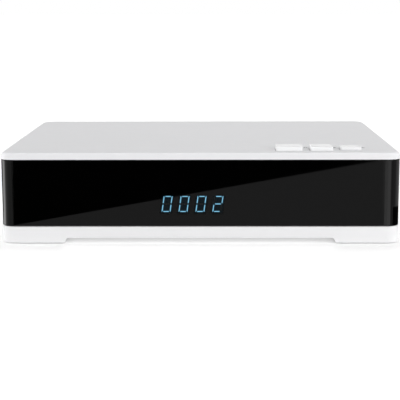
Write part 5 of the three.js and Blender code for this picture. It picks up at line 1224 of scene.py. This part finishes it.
def make_floor():
    """A pale floor that keeps the shadow near the subject and runs to white far from it.

    The lift, which only the camera and reflections see, follows the distance from the case, and
    follows it another way beside the feet than between them. It is lower just outside the case and
    lower still at and beside the feet, a painted contact shadow, and higher under the hollow
    between the feet, painted light in that shadow.
    """
    signs = [(-1, -1), (1, -1), (1, 1), (-1, 1)]
    corners = [(x * FLOOR_HALF, y * FLOOR_HALF, 0) for x, y in signs]
    floor = new_mesh("floor", corners, [(0, 1, 2, 3)])
    nodes = new_look("floor")
    distance = outside_distance(nodes)

    def ramp(start, end, low, high):
        return nodes.spread(distance, low, high, start, end)

    # painted shade: the lift dips just outside the case and at the feet, and rises under the hollow
    # as painted light
    under = ramp(0, 0.001, UNDER_LIFT, BESIDE_LIFT)
    near = ramp(0.002, 0.008, BESIDE_LIFT, FLOOR_LIFT)
    under_foot = ramp(0, 0.003, UNDER_FOOT_LIFT, BESIDE_FOOT_LIFT)
    near_foot = ramp(0.003, 0.022, BESIDE_FOOT_LIFT, FLOOR_LIFT)
    far = ramp(0.3, 1.1, 0, FAR_LIFT)
    beside_feet = nodes.spread(nodes.math("ABSOLUTE", nodes.axis("X")), 0, 1, *FOOT_EDGE)
    between = nodes.math("MAXIMUM", under, near)
    feet = nodes.math("MAXIMUM", under_foot, near_foot)
    lift = nodes.math("ADD", nodes.blend(beside_feet, between, feet), far)
    seen = nodes.math("MULTIPLY", seen_share(nodes), lift)
    diffuse = nodes.add("ShaderNodeBsdfDiffuse", {"Color": (*(FLOOR_COLOR,) * 3, 1)})
    emission = nodes.add("ShaderNodeEmission", {"Strength": seen})
    both = {0: diffuse.outputs[0], 1: emission.outputs[0]}
    nodes.swap_shader(nodes.add("ShaderNodeAddShader", both))
    floor.data.materials.append(nodes.owner)


def wedge(center, start, end, reach=900, near=34, steps=8):
    """A ring sector on the floor; its angles turn from the front towards the right."""
    turns = [math.radians(start + (end - start) * i / steps) for i in range(steps + 1)]
    directions = [(math.sin(a), -math.cos(a)) for a in turns]
    inner = [(center[0] + near * x, center[1] + near * y) for x, y in directions]
    outer = [(center[0] + reach * x, center[1] + reach * y) for x, y in directions]
    return inner + outer[::-1]


def make_card(name, outline, brightness):
    """A card on the floor that only reflections show, as beside a glossy subject in a studio."""
    card = new_mesh(name, [(x, y, CARD_HEIGHT) for x, y in outline], [tuple(range(len(outline)))])
    nodes = new_look(name)
    light = {"Color": (1, 1, 1, 1), "Strength": brightness}
    nodes.swap_shader(nodes.add("ShaderNodeEmission", light))
    card.data.materials.append(nodes.owner)
    for ray in ("camera", "diffuse", "shadow", "transmission", "volume_scatter"):
        setattr(card, "visible_" + ray, False)


def make_lamp(name, place, power):
    data = bpy.data.lights.new(name, "AREA")
    data.shape = "RECTANGLE"
    data.size, data.size_y = LAMP_SIZE
    data.energy = power
    lamp = add_object(name, data)
    lamp.location = place
    aim = Vector(LAMP_TARGET) - Vector(place)
    lamp.rotation_euler = aim.to_track_quat("-Z", "Y").to_euler()
    lamp.visible_camera = False
    lamp.visible_glossy = False


make_camera()
make_world()
make_floor()
for name, (place, power) in LAMPS.items():
    make_lamp(name, place, power)
make_card("dark_card", [(-119.9, -148.6), (167.6, -469.3), (211, -757), (-226, -757)], 0.0)
make_card("dim_card", [(-119.9, -148.6), (118.6, -148.6), (167.6, -469.3)], 0.3)
RIGHT_CORNER, LEFT_CORNER = (110, -87.5), (-110, -87.5)
RIGHT_CARDS = {
    "start": ((107.3, -95.5), 8.45, 8.53, 0.65),
    "streak": ((108.2, -95.5), 8.53, 30, 0.95),
    "fading": (RIGHT_CORNER, 30, 38, 0.6),
    "side": (RIGHT_CORNER, 38, 58, 0.25),
}
for name, (center, start, end, brightness) in RIGHT_CARDS.items():
    make_card("right_" + name, wedge(center, start, end), brightness)
SHADE_END = 128  # where the shaded part of the right side gives way to the brighter one
make_card("right_shade", wedge(RIGHT_CORNER, 58, 150, reach=SHADE_END), 0.02)
make_card("right_far_side", wedge(RIGHT_CORNER, 58, 85, near=SHADE_END), 0.26)
make_card("right_far_edge", wedge(RIGHT_CORNER, 85, 150, near=SHADE_END), 0.5)
LEFT_CARDS = [(-10, -15, 0), (-15, -50, 0.3), (-50, -62, 0.37), (-62, -74, 0.5), (-74, -86, 0.85)]
LEFT_CARDS += [(-86, -117, 2.9), (-117, -150, 0.15)]
for i, (start, end, brightness) in enumerate(LEFT_CARDS):
    make_card(f"left_card_{i + 1}", wedge(LEFT_CORNER, start, end), brightness)

bpy.context.scene.view_settings.view_transform = "Standard"
